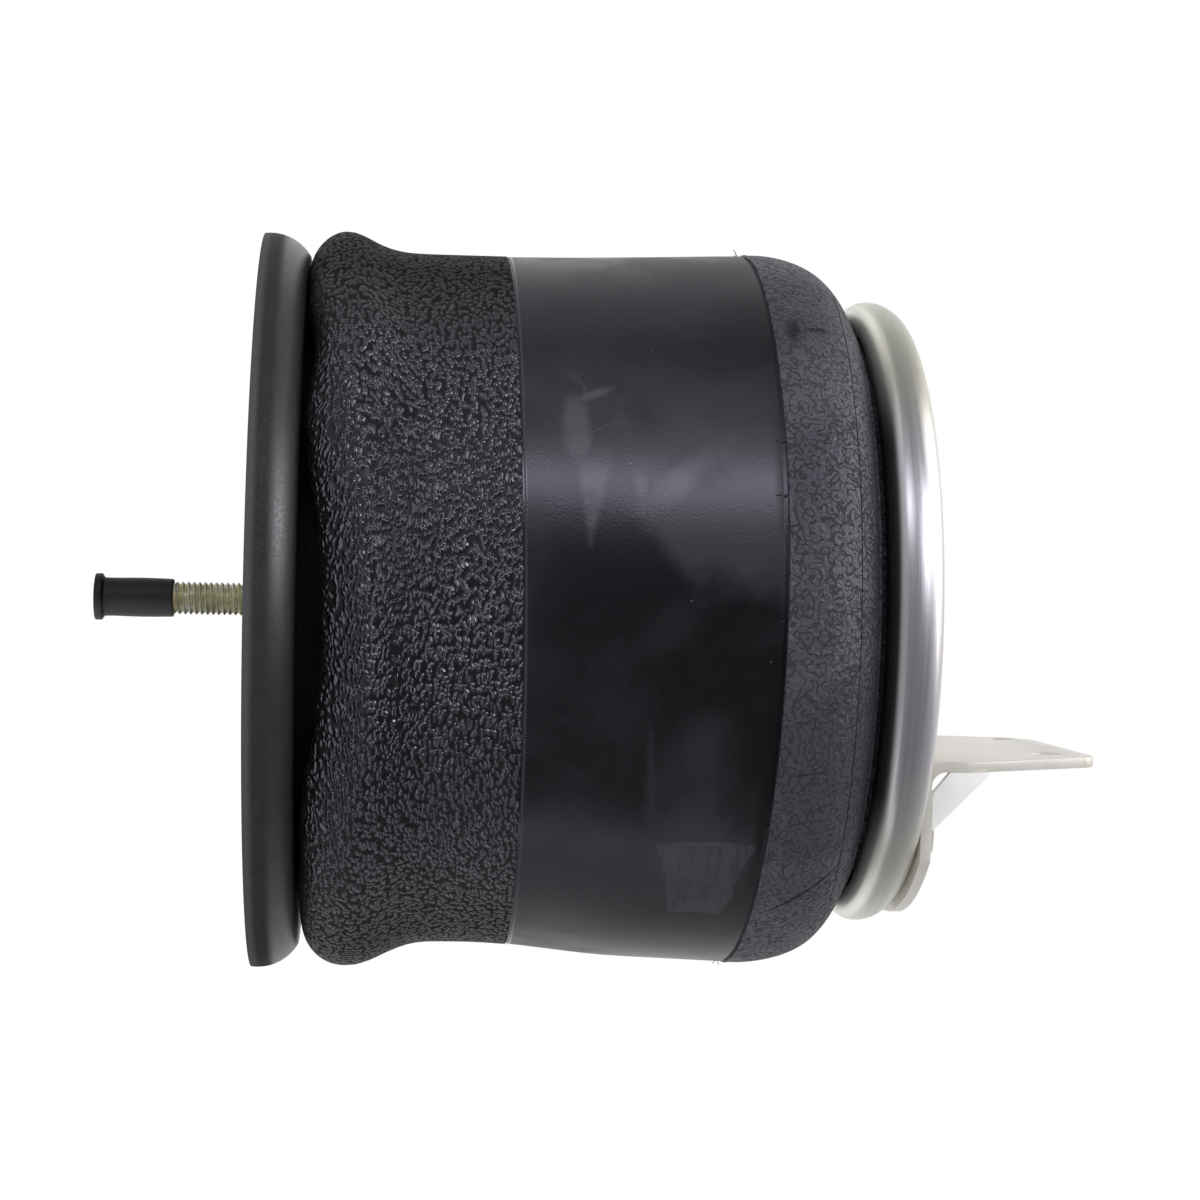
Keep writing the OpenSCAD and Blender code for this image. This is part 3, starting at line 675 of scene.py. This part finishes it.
# %% [markdown]
# ## Mesh helpers
# Most of this object is turned, so one closed outline spun once round Z makes a whole piece, wall and all, where
# a stack of cylinders would leave inner faces. One function makes the mesh an object: it points the faces outwards,
# keeps the points' first places for the rubber's patterns, and lets the piece ride on its body.

# %% Mesh helpers
def piece_from(bm, name, materials, body=None, sharp=35):
    """An object from the bmesh. Edges that bend more than the sharp angle stay crisp."""
    bmesh.ops.recalc_face_normals(bm, faces=bm.faces)
    mesh = bpy.data.meshes.new(name)
    bm.to_mesh(mesh)
    bm.free()
    places = mesh.attributes.new(REST_PLACE, "FLOAT_VECTOR", "POINT")
    places.data.foreach_set("vector", [c for v in mesh.vertices for c in v.co])
    for material in materials:
        mesh.materials.append(material)
    mesh.polygons.foreach_set("use_smooth", [True] * len(mesh.polygons))
    mesh.set_sharp_from_angle(angle=math.radians(sharp))
    piece = bpy.data.objects.new(name, mesh)
    bpy.context.scene.collection.objects.link(piece)
    if body:
        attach(piece, body)
    return piece


def spun(outline, steps):
    """A closed outline of radius and height, turned once round Z."""
    bm = bmesh.new()
    corners = [bm.verts.new((r, 0, z)) for r, z in outline]
    sides = [bm.edges.new((a, b)) for a, b in zip(corners, corners[1:] + corners[:1])]
    bmesh.ops.spin(
        bm,
        geom=corners + sides,
        cent=(0, 0, 0),
        axis=(0, 0, 1),
        angle=2 * math.pi,
        steps=steps,
        use_merge=True,
    )
    bmesh.ops.remove_doubles(bm, verts=bm.verts, dist=1e-7)
    return bm


def in_mm(*points):
    return [(r * MM, z * MM) for r, z in points]


def arc(centre_r, centre_z, radius, start, end, count):
    """Points on an arc in the outline's plane; 0 degrees is outwards and 90 towards +Z."""
    points = []
    for i in range(count + 1):
        a = math.radians(start + (end - start) * i / count)
        points.append((centre_r + radius * math.cos(a), centre_z + radius * math.sin(a)))
    return points


def curve_through(points, step):
    """A smooth line through points, with a point about every step."""
    line = []
    for i, (p1, p2) in enumerate(zip(points, points[1:])):
        p0 = points[max(i - 1, 0)]
        p3 = points[min(i + 2, len(points) - 1)]
        count = max(1, round(math.dist(p1, p2) / step))
        for k in range(count):
            t = k / count
            line.append(tuple(
                0.5 * (
                    2 * p1[c]
                    + (p2[c] - p0[c]) * t
                    + (2 * p0[c] - 5 * p1[c] + 4 * p2[c] - p3[c]) * t * t
                    + (3 * p1[c] - p0[c] - 3 * p2[c] + p3[c]) * t * t * t
                )
                for c in (0, 1)
            ))
    return line + [points[-1]]


print("mesh helpers ready")

# %% [markdown]
# ## Outline of the sleeve's outer wall
# The real sleeve hangs from the plate and rolls back up inside itself. Drawn as one outline, the wall keeps its
# thickness and its small steps: the ridge where the grain ends, the mould's seam, the mould line on the shoulder
# and the lip under the rim. It runs from the lobe's inner side, round the lobe, up the outer wall and over the
# shoulder to the upper bead, and then back down the inside.

# %% Sleeve outline
PISTON_R = 82 * MM
GAP = 0.3 * MM
WALL_T = 3.6 * MM
LOBE_R = 105.9 * MM
LOBE_Z = 25.5 * MM
SHOULDER_R = 24 * MM
SHOULDER_C = 102.5 * MM - SHOULDER_R
SHOULDER_Z = 142 * MM
LIP_R = 0.5 * MM
LIP_AT = math.radians(74)

lobe_c = (PISTON_R + GAP + LOBE_R) / 2
lobe_section_r = (LOBE_R - PISTON_R - GAP) / 2
lip_c = (SHOULDER_C + SHOULDER_R * math.cos(LIP_AT), SHOULDER_Z + SHOULDER_R * math.sin(LIP_AT))
neck = in_mm(
    (105.9, 25.5), (105.7, 28.5), (104.4, 33), (102.3, 38.5), (100.9, 43.5), (100.3, 49), (100.2, 58), (100.2, 71)
)
border_ridge = in_mm(
    (100.2, 71.7), (100.1, 71.9), (99.6, 71.95), (99.6, 72.35), (100.02, 72.4), (100.16, 72.5), (100.16, 72.65),
    (100.05, 72.8),
)
band = in_mm((100.05, 72.9), (100.3, 85), (101.2, 110), (102.22, 137.6))
seam = in_mm(
    (102.15, 137.8), (101.4, 137.9), (101.4, 138.9), (102.35, 139.0), (102.6, 139.15), (102.6, 139.35),
    (102.45, 139.6),
)
bead = in_mm((79.4, 167.5), (79.2, 170), (78.2, 173), (76.6, 174.5))
outside = arc(lobe_c, LOBE_Z, lobe_section_r, -180, 0, 30)[:-1]
outside += curve_through(neck, 2.2 * MM) + border_ridge + curve_through(band, 5 * MM) + seam
outside += arc(SHOULDER_C, SHOULDER_Z, SHOULDER_R, 0, 42.4, 22)
outside += arc(SHOULDER_C, SHOULDER_Z, SHOULDER_R - 0.25 * MM, 42.5, 43.5, 1)
outside += arc(SHOULDER_C, SHOULDER_Z, SHOULDER_R, 43.6, 72.6, 14)
outside += arc(*lip_c, LIP_R, -10, 158, 6)
outside += arc(SHOULDER_C, SHOULDER_Z, SHOULDER_R, 75.6, 90, 6) + bead
inside = in_mm((75.2, 172.5), (74.9, 165), (75.6, 162.6))
inside += arc(SHOULDER_C, SHOULDER_Z, SHOULDER_R - WALL_T, 90, 0, 16)[2:]
inside += in_mm((98.6, 130), (96.8, 100), (96.4, 72), (96.5, 48), (98.5, 38))
inside += arc(lobe_c, LOBE_Z, lobe_section_r - WALL_T, 0, -180, 16)
print("outline points:", len(outside + inside))

# %% [markdown]
# ## Unevenness of soft rubber
# Without air the lobe isn't a perfect ring: it is pushed up at the front and wavy elsewhere, its neck is drawn in
# on the lower side, and the border and the seam bend. Sculpting would do this by hand, and functions of the angle
# and height do it the same each run. A dent is given in mm at angles in degrees from the front, and eased between.

# %% Unevenness
DENTS = (
    (-180, 1.5), (-140, 3.0), (-110, 0.6), (-70, 0.2), (-58, 0.8), (-46, 3.3), (-30, 0.9), (-23, 1.9), (-12, 5.2),
    (-4, 6.4), (8, 6.6), (18, 5.2), (28, 2.0), (34, 0.9), (60, 0.3), (90, 0.8), (120, 3.2), (150, 1.0), (180, 1.5),
)


def ease(value, start, end):
    t = min(1.0, max(0.0, (value - start) / (end - start)))
    return t * t * (3 - 2 * t)


def dent(angle):
    """How far the lobe's bottom is pushed up at that angle, in mm."""
    for (a, first), (b, second) in zip(DENTS, DENTS[1:]):
        if a <= angle <= b:
            return first + (second - first) * ease(angle, a, b)
    return 0.0


def border_rise(across):
    """The bend of the border between lobe and band, in mm."""
    return BORDER_SLOPE * across + BORDER_BEND * across * across


def seam_rise(across):
    """The bend of the seam between band and shoulder, in mm."""
    return -0.95 * across - 2.75 * across * across


def rise(angle, across, z):
    """How far the skin moves along Z there, in mm."""
    near_lobe = 1 - ease(z, 24 * MM, 50 * MM)
    near_border = ease(z, 50 * MM, 71 * MM) * (1 - ease(z, 74 * MM, 100 * MM))
    near_seam = ease(z, 100 * MM, 138 * MM) * (1 - ease(z, 140 * MM, 158 * MM))
    upper_side = across * across if across < 0 else 0
    sag = upper_side * (1.0 + 5.0 * ease(z, 14 * MM, 44 * MM)) * (1 - ease(z, 50 * MM, 71 * MM))
    return (
        0.85 * dent(angle) * near_lobe
        - sag
        + near_border * (border_rise(across) - 1.2)
        + near_seam * (seam_rise(across) - 0.6)
    )


def drawn_in(angle, across, r, z):
    """How far the skin moves towards the axis there, in mm: flat at the front, pressed on the lower side."""
    front = (1 - ease(abs(angle - 2), 12, 38)) * (1 - ease(z, 17 * MM, 28 * MM)) * ease(r, 92 * MM, 101 * MM)
    if across <= 0:
        return 2.5 * front, 0.0
    pressed = (1.6 + 1.3 * ease(z, 30 * MM, 50 * MM)) * (1 - ease(z, 58 * MM, 105 * MM))
    return 2.5 * front, across * across * pressed * ease(r, 88 * MM, 99 * MM)


print("deepest dent:", max(depth for angle, depth in DENTS), "mm")

# %% [markdown]
# ## Outer wall
# The outline is spun and its points are moved. Slivers of flash, which the mould squeezed out, stick out of the
# seam as thin cones, because even a tiny one shows against a white background. The faces then get the lobe's,
# the band's or the shoulder's finish by their height.

# %% Sleeve outer wall
def sliver(bm, angle, length, width, lean):
    a = math.radians(angle)
    outward = Vector((math.sin(a), -math.cos(a), 0))
    way = (outward + Vector((0, 0, lean))).normalized()
    root = outward * 101.6 * MM + Vector((0, 0, (137.8 + seam_rise(math.sin(a))) * MM))
    turned = way.to_track_quat("Z", "Y").to_matrix().to_4x4()
    bmesh.ops.create_cone(
        bm,
        cap_ends=True,
        segments=8,
        radius1=width,
        radius2=width * 0.35,
        depth=length,
        matrix=Matrix.Translation(root + way * length * 0.45) @ turned,
    )


bm = spun(outside + inside, 320)
for v in bm.verts:
    r = math.hypot(v.co.x, v.co.y)
    angle = math.degrees(math.atan2(v.co.x, -v.co.y))
    across = v.co.x / r
    z = v.co.z
    v.co.z = z + rise(angle, across, z) * MM
    for inwards in drawn_in(angle, across, r, z):
        v.co.x *= 1 - inwards * MM / r
        v.co.y *= 1 - inwards * MM / r
for angle, length, width, lean in (
    (-88, 3.2, 0.22, -0.5),
    (-84, 2.6, 0.15, -3.0),
    (-26.5, 2.4, 0.3, -2.0),
    (-17.9, 3.0, 0.4, -2.5),
    (0.5, 2.2, 0.25, -2.0),
    (33, 2.0, 0.25, 2.0),
    (86, 2.6, 0.18, -1.0),
    (89, 2.8, 0.2, 0.4),
    (91, 2.2, 0.15, -0.6),
):
    sliver(bm, angle, length * MM, width * MM, lean)
for f in bm.faces:
    centre = f.calc_center_median()
    across = centre.x / math.hypot(centre.x, centre.y)
    border_z = (70.9 + border_rise(across)) * MM
    seam_z = (137.9 + seam_rise(across)) * MM
    f.material_index = 0 if centre.z < border_z else 1 if centre.z < seam_z else 2
sleeve = piece_from(bm, "sleeve_outer_wall", [lobe_rubber, band_rubber, shoulder_rubber], sharp=60)
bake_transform(sleeve)
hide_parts("flexible_sleeve")
print("outer wall faces:", len(sleeve.data.polygons))

# %% [markdown]
# ## Inner wall
# The rest of the sleeve runs up the piston, over its crown and into the lower bead. It is hidden, so it has a
# plain finish. It is a mesh of its own, apart from the outer wall.

# %% Sleeve inner wall
CROWN_C = 70 * MM
CROWN_Z = 88 * MM
CROWN_R = 12.3 * MM
inner_r = CROWN_C + CROWN_R
outer_r = 85.9 * MM
straight_z = [LOBE_Z, 40 * MM, 60 * MM]

inner = [(inner_r, z) for z in straight_z]
inner += arc(CROWN_C, CROWN_Z, CROWN_R, 0, 90, 16)
inner += in_mm((55.9, 100.3), (47.3, 100.3), (47.3, 105))
inner += arc(51.6 * MM, 105 * MM, 4.3 * MM, 150, 0, 8)
inner += in_mm((55.9, 103.9))
inner += arc(CROWN_C, CROWN_Z, CROWN_R + WALL_T, 90, 0, 16)
inner += [(outer_r, z) for z in reversed(straight_z)]
inner_wall = piece_from(spun(inner, 160), "sleeve_inner_wall", [plain_rubber], sharp=40)
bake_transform(inner_wall)
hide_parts("flexible_sleeve")
print("inner wall faces:", len(inner_wall.data.polygons))

# %% [markdown]
# ## Bead plate
# The plate is one pressed sheet. Its rim rolls over at the top, comes down round the widest point and curls in
# under the bead, so it is spun as one section. The disc has a hole for the air port and two for the bracket's
# studs. Boolean cuts would leave long thin faces, so circles are filled between and pushed down to a thickness.

# %% Bead plate
HEIGHT = 183 * MM
PLATE_T = 2.5 * MM
RIM_C, RIM_Z, RIM_R = 80 * MM, 173 * MM, 10 * MM
CURL_C, CURL_R = 84 * MM, 6 * MM
STUD_HOLE_R = 4.8 * MM
RIM_STEPS = 384

rim = [(RIM_C, HEIGHT - PLATE_T), (RIM_C, HEIGHT)]
rim += arc(RIM_C, RIM_Z, RIM_R, 90, 0, 28)[1:]
rim += arc(CURL_C, RIM_Z, CURL_R, 0, -90, 20)[1:]
rim += [(CURL_C - 0.5 * MM, RIM_Z - CURL_R + 0.25 * MM)]
rim += arc(CURL_C, RIM_Z, CURL_R - PLATE_T, -90, 0, 16)
rim += arc(RIM_C, RIM_Z, RIM_R - PLATE_T, 0, 90, 16)[1:-1]
bm = spun(rim, RIM_STEPS)
for x, y, radius, steps in (
    (0, 0, RIM_C, RIM_STEPS),
    (-0.050, 0, 10 * MM, 48),
    (0.062, -0.025, STUD_HOLE_R, 32),
    (0.062, 0.025, STUD_HOLE_R, 32),
):
    bmesh.ops.create_circle(
        bm, cap_ends=False, segments=steps, radius=radius, matrix=Matrix.Translation((x, y, HEIGHT))
    )
loose = [e for e in bm.edges if not e.link_faces]
filled = bmesh.ops.triangle_fill(bm, edges=loose, use_beauty=True)
disc_faces = [g for g in filled["geom"] if isinstance(g, bmesh.types.BMFace)]
pushed = bmesh.ops.extrude_face_region(bm, geom=disc_faces, use_keep_orig=True)
lower = [g for g in pushed["geom"] if isinstance(g, bmesh.types.BMVert)]
bmesh.ops.translate(bm, verts=lower, vec=(0, 0, -PLATE_T))
bead_plate = piece_from(bm, "bead_plate_pressing", [rim_zinc], "bead_plate")
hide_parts("bead_plate")
print("plate faces:", len(bead_plate.data.polygons), "and height:", round(HEIGHT / MM), "mm")

# %% [markdown]
# ## Stud
# The stud has 16 threads to the inch. Rings side by side would look alike from afar but close up each is level,
# so one pitch of the thread's outline is carried along a true helix, then cut square at both ends and closed. The
# shank inside it, which runs up through the piston to the head, is turned as a piece of its own.

# %% Stud
STUD_R = 9.525 / 2 * MM
STUD_LENGTH = 44.45 * MM
THREAD_PITCH = 25.4 / 16 * MM
STEPS_A_TURN = 40
thread_depth = 0.54 * THREAD_PITCH
start_z = -STUD_LENGTH - THREAD_PITCH
turns_wanted = math.ceil((STUD_LENGTH + 3 * MM) / THREAD_PITCH) + 2

bm = bmesh.new()
one_pitch = [
    (STUD_R - thread_depth, 0.0),
    (STUD_R - 0.06 * thread_depth, 0.42),
    (STUD_R, 0.47),
    (STUD_R, 0.53),
    (STUD_R - 0.06 * thread_depth, 0.58),
    (STUD_R - thread_depth, 1.0),
]
corners = [bm.verts.new((r, 0, start_z + share * THREAD_PITCH)) for r, share in one_pitch]
sides = [bm.edges.new((a, b)) for a, b in zip(corners, corners[1:])]
bmesh.ops.spin(
    bm,
    geom=corners + sides,
    cent=(0, 0, 0),
    axis=(0, 0, 1),
    dvec=(0, 0, THREAD_PITCH / STEPS_A_TURN),
    angle=2 * math.pi * turns_wanted,
    steps=STEPS_A_TURN * turns_wanted,
)
bmesh.ops.remove_doubles(bm, verts=bm.verts, dist=2e-6)
for cut_z, outward in ((-STUD_LENGTH + 1.0 * MM, -1), (1.0 * MM, 1)):
    bmesh.ops.bisect_plane(
        bm,
        geom=bm.verts[:] + bm.edges[:] + bm.faces[:],
        plane_co=(0, 0, cut_z),
        plane_no=(0, 0, outward),
        clear_outer=True,
    )
bmesh.ops.holes_fill(bm, edges=[e for e in bm.edges if len(e.link_faces) == 1])
thread = piece_from(bm, "stud_thread", [yellow_zinc], "piston", 25)

shank_outline = in_mm(
    (0, -44.45), (3.3, -44.45), (3.85, -43.9), (3.85, 0), (6.35, 0.8), (6.35, 102.5), (14, 102.5), (14, 107.9),
    (13.2, 108.5), (0, 108.5),
)
shank = piece_from(spun(shank_outline, 96), "stud_shank", [yellow_zinc], "piston", 25)
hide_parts("piston_stud")
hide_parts("piston_stud")
print("thread faces:", len(thread.data.polygons))

# %% [markdown]
# ## Stud cap
# The cap is vinyl dipped over a pin: a slightly barrelled tube with a flange at its closed end and a rounded
# mouth. A plain cylinder would look machined, so its side is a curve through a few points.

# %% Cap
CAP_BOTTOM, CAP_MOUTH = -47.55 * MM, -24.75 * MM
CAP_BORE_R = 4.83 * MM
CAP_EDGE_R = 0.5 * MM

side_points = [(r * MM, CAP_BOTTOM + up_mm * MM) for r, up_mm in ((5.55, 3.2), (5.50, 6), (5.62, 12), (5.60, 17))]
side_points.append((5.48 * MM, CAP_MOUTH - 0.7 * MM))
cap = [(r * MM, CAP_BOTTOM + up_mm * MM) for r, up_mm in ((0, 0), (3, 0.08), (5.6, 0.35))]
cap += arc(6.2 * MM, CAP_BOTTOM + 0.95 * MM, CAP_EDGE_R, -90, 0, 5)
cap += arc(6.2 * MM, CAP_BOTTOM + 2.2 * MM, CAP_EDGE_R, 0, 80, 5)
cap += curve_through(side_points, 0.8 * MM)
cap += arc(4.98 * MM, CAP_MOUTH - CAP_EDGE_R, CAP_EDGE_R, 0, 90, 5)
cap += [(CAP_BORE_R, CAP_MOUTH - 0.4 * MM), (CAP_BORE_R, CAP_BOTTOM + 3.1 * MM), (0, CAP_BOTTOM + 3.1 * MM)]
cap_piece = piece_from(spun(cap, 96), "stud_cap_vinyl", [cap_vinyl], "cap")
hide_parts("stud_cap")
print("cap faces:", len(cap_piece.data.polygons))

# %% [markdown]
# ## Softened parts
# Pressed sheet and mouldings have no knife edges, and an edge without a bevel catches no light. These parts keep
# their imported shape: a copy's loose triangles are merged and joined into flat faces, and only the edges that bend
# sharply are bevelled. A bevel modifier could do it, but it would catch the triangles' own edges too.

# %% Softened parts
def softened(node, name, material, width, body, sharp=35):
    bm = bmesh.new()
    bm.from_mesh(bpy.data.objects[frame_nodes[node]].data)
    bmesh.ops.remove_doubles(bm, verts=bm.verts, dist=2e-6)
    bmesh.ops.dissolve_limit(bm, angle_limit=math.radians(1.0), verts=bm.verts, edges=bm.edges)
    bends = [e for e in bm.edges if len(e.link_faces) == 2]
    bmesh.ops.bevel(
        bm,
        geom=[e for e in bends if e.calc_face_angle(0) > math.radians(sharp)],
        offset=width,
        offset_type="OFFSET",
        affect="EDGES",
        segments=2,
        profile=0.5,
        material=-1,
        clamp_overlap=True,
    )
    piece = piece_from(bm, name, [material], body, sharp)
    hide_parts(node)
    print(name, "faces:", len(piece.data.polygons))


softened("piston", "piston_moulding", piston_black, 0.35 * MM, "piston")
softened("bracket", "bracket_sheet", bracket_zinc, 0.35 * MM, "bead_plate")
for side in ("near", "far"):
    softened("bracket_gusset_" + side, "gusset_" + side, gusset_zinc_painted_bright, 0.3 * MM, "bead_plate")
    softened("plate_nut_" + side, "nut_" + side, bracket_zinc, 0.25 * MM, "bead_plate")

# %% [markdown]
# ## Finishes of the other parts
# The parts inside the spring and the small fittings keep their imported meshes, whose shapes are already exact.
# They only change their plain material for one of the finishes above.

# %% Finishes
finish_of = {
    "piston_insert": plain_steel,
    "stud_washer": yellow_zinc,
    "stud_nut": yellow_zinc,
    "stud_seal": plain_rubber,
    "end_closure": plain_steel,
    "lower_bead_core": bead_wire,
    "bump_stop": plain_rubber,
    "bump_stop_washer": plain_steel,
    "bump_stop_screw": plain_steel,
    "upper_bead_core": bead_wire,
    "air_port_boss": bracket_zinc,
    "plate_stud_near": bracket_zinc,
    "plate_stud_far": bracket_zinc,
}
for node, material in finish_of.items():
    piece = bpy.data.objects[frame_nodes[node]]
    piece.data.materials.clear()
    piece.data.materials.append(material)
print("finished:", len(finish_of))

# %% [markdown]
# ## Floor
# The floor is a level sheet below the cap, low enough that the cap can be pulled off above it. Real studio paper
# would need much light to turn white, and that light would wash the rubber out. So rays from the camera and
# through glass see it glow white, mirrored rays see it darker towards the camera's side, with one bright strip
# before the spring, and all other rays meet plain matt paper, which also keeps the shadow.

# %% Floor
FLOOR_Z = -112 * MM

bm = bmesh.new()
bmesh.ops.create_grid(bm, x_segments=1, y_segments=1, size=3)
bmesh.ops.translate(bm, verts=bm.verts, vec=(0, 0, FLOOR_Z))
floor_mesh = bpy.data.meshes.new("floor")
bm.to_mesh(floor_mesh)
bm.free()
floor = bpy.data.objects.new("floor", floor_mesh)
bpy.context.scene.collection.objects.link(floor)

floor_white, tree, shader = new_material("floor_white", Roughness=0.9, Specular_IOR_Level=0.1)
shader.inputs["Base Color"].default_value = (0.8, 0.8, 0.8, 1)
rays = add(tree, "ShaderNodeLightPath").outputs
to_the_back = apart(tree, object_coordinates(tree))["Y"]
mirrored = times(tree, stretch(tree, to_the_back, -0.38, 1.0, 0.04, 1.0), 1.1)
strip = stretch(tree, math_node(tree, "ABSOLUTE", plus(tree, to_the_back, 0.33)), 0.30, 0.10, 0.0, 0.8)
strength = most_of(tree, times(tree, rays["Is Camera Ray"], 1.1), mirrored, strip)
glow = add(tree, "ShaderNodeEmission", {"Color": (1, 1, 1, 1), "Strength": strength})
glowing = most_of(tree, rays["Is Camera Ray"], rays["Is Glossy Ray"], rays["Is Transmission Ray"])
both = add(tree, "ShaderNodeMixShader")
for i, value in enumerate((times(tree, glowing, 0.88), shader.outputs[0], glow.outputs[0])):
    feed(tree, both.inputs[i], value)
feed(tree, tree.nodes["Material Output"].inputs["Surface"], both.outputs[0])
floor_mesh.materials.append(floor_white)
floor_white.cycles.emission_sampling = "NONE"
print("floor at", round(FLOOR_Z / MM), "mm")

# %% [markdown]
# ## Studio round it
# Behind everything stands the world. An even white one would fill the rubber's gloss with grey. As on the floor,
# the camera sees white, other light comes evenly from all round, and mirrored rays see a studio that gets darker
# towards the camera's side, as it does round a photographer.

# %% Studio
STUDIO_LEVELS = ((0.0, 0.04), (0.3, 0.05), (0.5, 0.13), (0.75, 0.26), (0.9, 0.6), (1.0, 1.0))
EVEN_LIGHT = 0.75

world = bpy.data.worlds.new("studio")
bpy.context.scene.world = world
world.use_nodes = True
world.cycles.sampling_method = "NONE"
tree = world.node_tree
rays = add(tree, "ShaderNodeLightPath").outputs
way = apart(tree, add(tree, "ShaderNodeTexCoord").outputs["Generated"])
ramp = add(tree, "ShaderNodeValToRGB", {"Fac": stretch(tree, way["Y"], -1, 1, smooth=False)})
while len(ramp.color_ramp.elements) < len(STUDIO_LEVELS):
    ramp.color_ramp.elements.new(0.5)
for element, (position, level) in zip(ramp.color_ramp.elements, STUDIO_LEVELS):
    element.position = position
    element.color = (level, level, level, 1)
mirrored = times(tree, rays["Is Glossy Ray"], ramp.outputs["Color"])
white = most_of(tree, rays["Is Camera Ray"], rays["Is Transmission Ray"])
even = times(tree, minus(tree, 1.0, rays["Is Glossy Ray"]), EVEN_LIGHT)
background = tree.nodes["Background"]
background.inputs["Color"].default_value = (1, 1, 1, 1)
feed(tree, background.inputs["Strength"], most_of(tree, white, mirrored, even))
print("studio levels:", len(STUDIO_LEVELS))

# %% [markdown]
# ## Lamps
# Small soft boxes draw the highlights that tell rubber from metal. The key stands above the camera and makes the
# band's long highlight, one beyond the plate's end lights the rim and the shoulder, a larger one behind it edges
# the metal, and a weak one opens the shadows of the photograph's lower side.

# %% Lamps
def soft_light(name, place, aim, size, power, colour=(1, 1, 1)):
    light = bpy.data.lights.new(name, "AREA")
    light.shape = "RECTANGLE"
    light.size, light.size_y = size
    light.energy = power
    light.color = colour
    lamp = bpy.data.objects.new(name, light)
    bpy.context.scene.collection.objects.link(lamp)
    ahead = (Vector(aim) - Vector(place)).normalized()
    side = ahead.cross(Vector((0, 0, 1))).normalized()
    lamp.matrix_world = standing(place, side, side.cross(ahead), ahead)


soft_light("key", (-0.71, -0.89, 0.20), (0, 0, 0.10), (0.25, 0.5), 1.2, (0.94, 0.93, 1.0))
soft_light("right", (-0.42, -0.60, 1.05), (0, 0, 0.05), (0.42, 0.42), 2.5, (0.95, 0.94, 1.0))
soft_light("fill", (1.1, -0.25, 0.1), (0, 0, 0.08), (0.2, 0.3), 0.12)
soft_light("edge", (-0.3, 0.2, 1.2), (0, 0, 0.1), (0.8, 0.8), 4, (1.0, 0.98, 0.92))
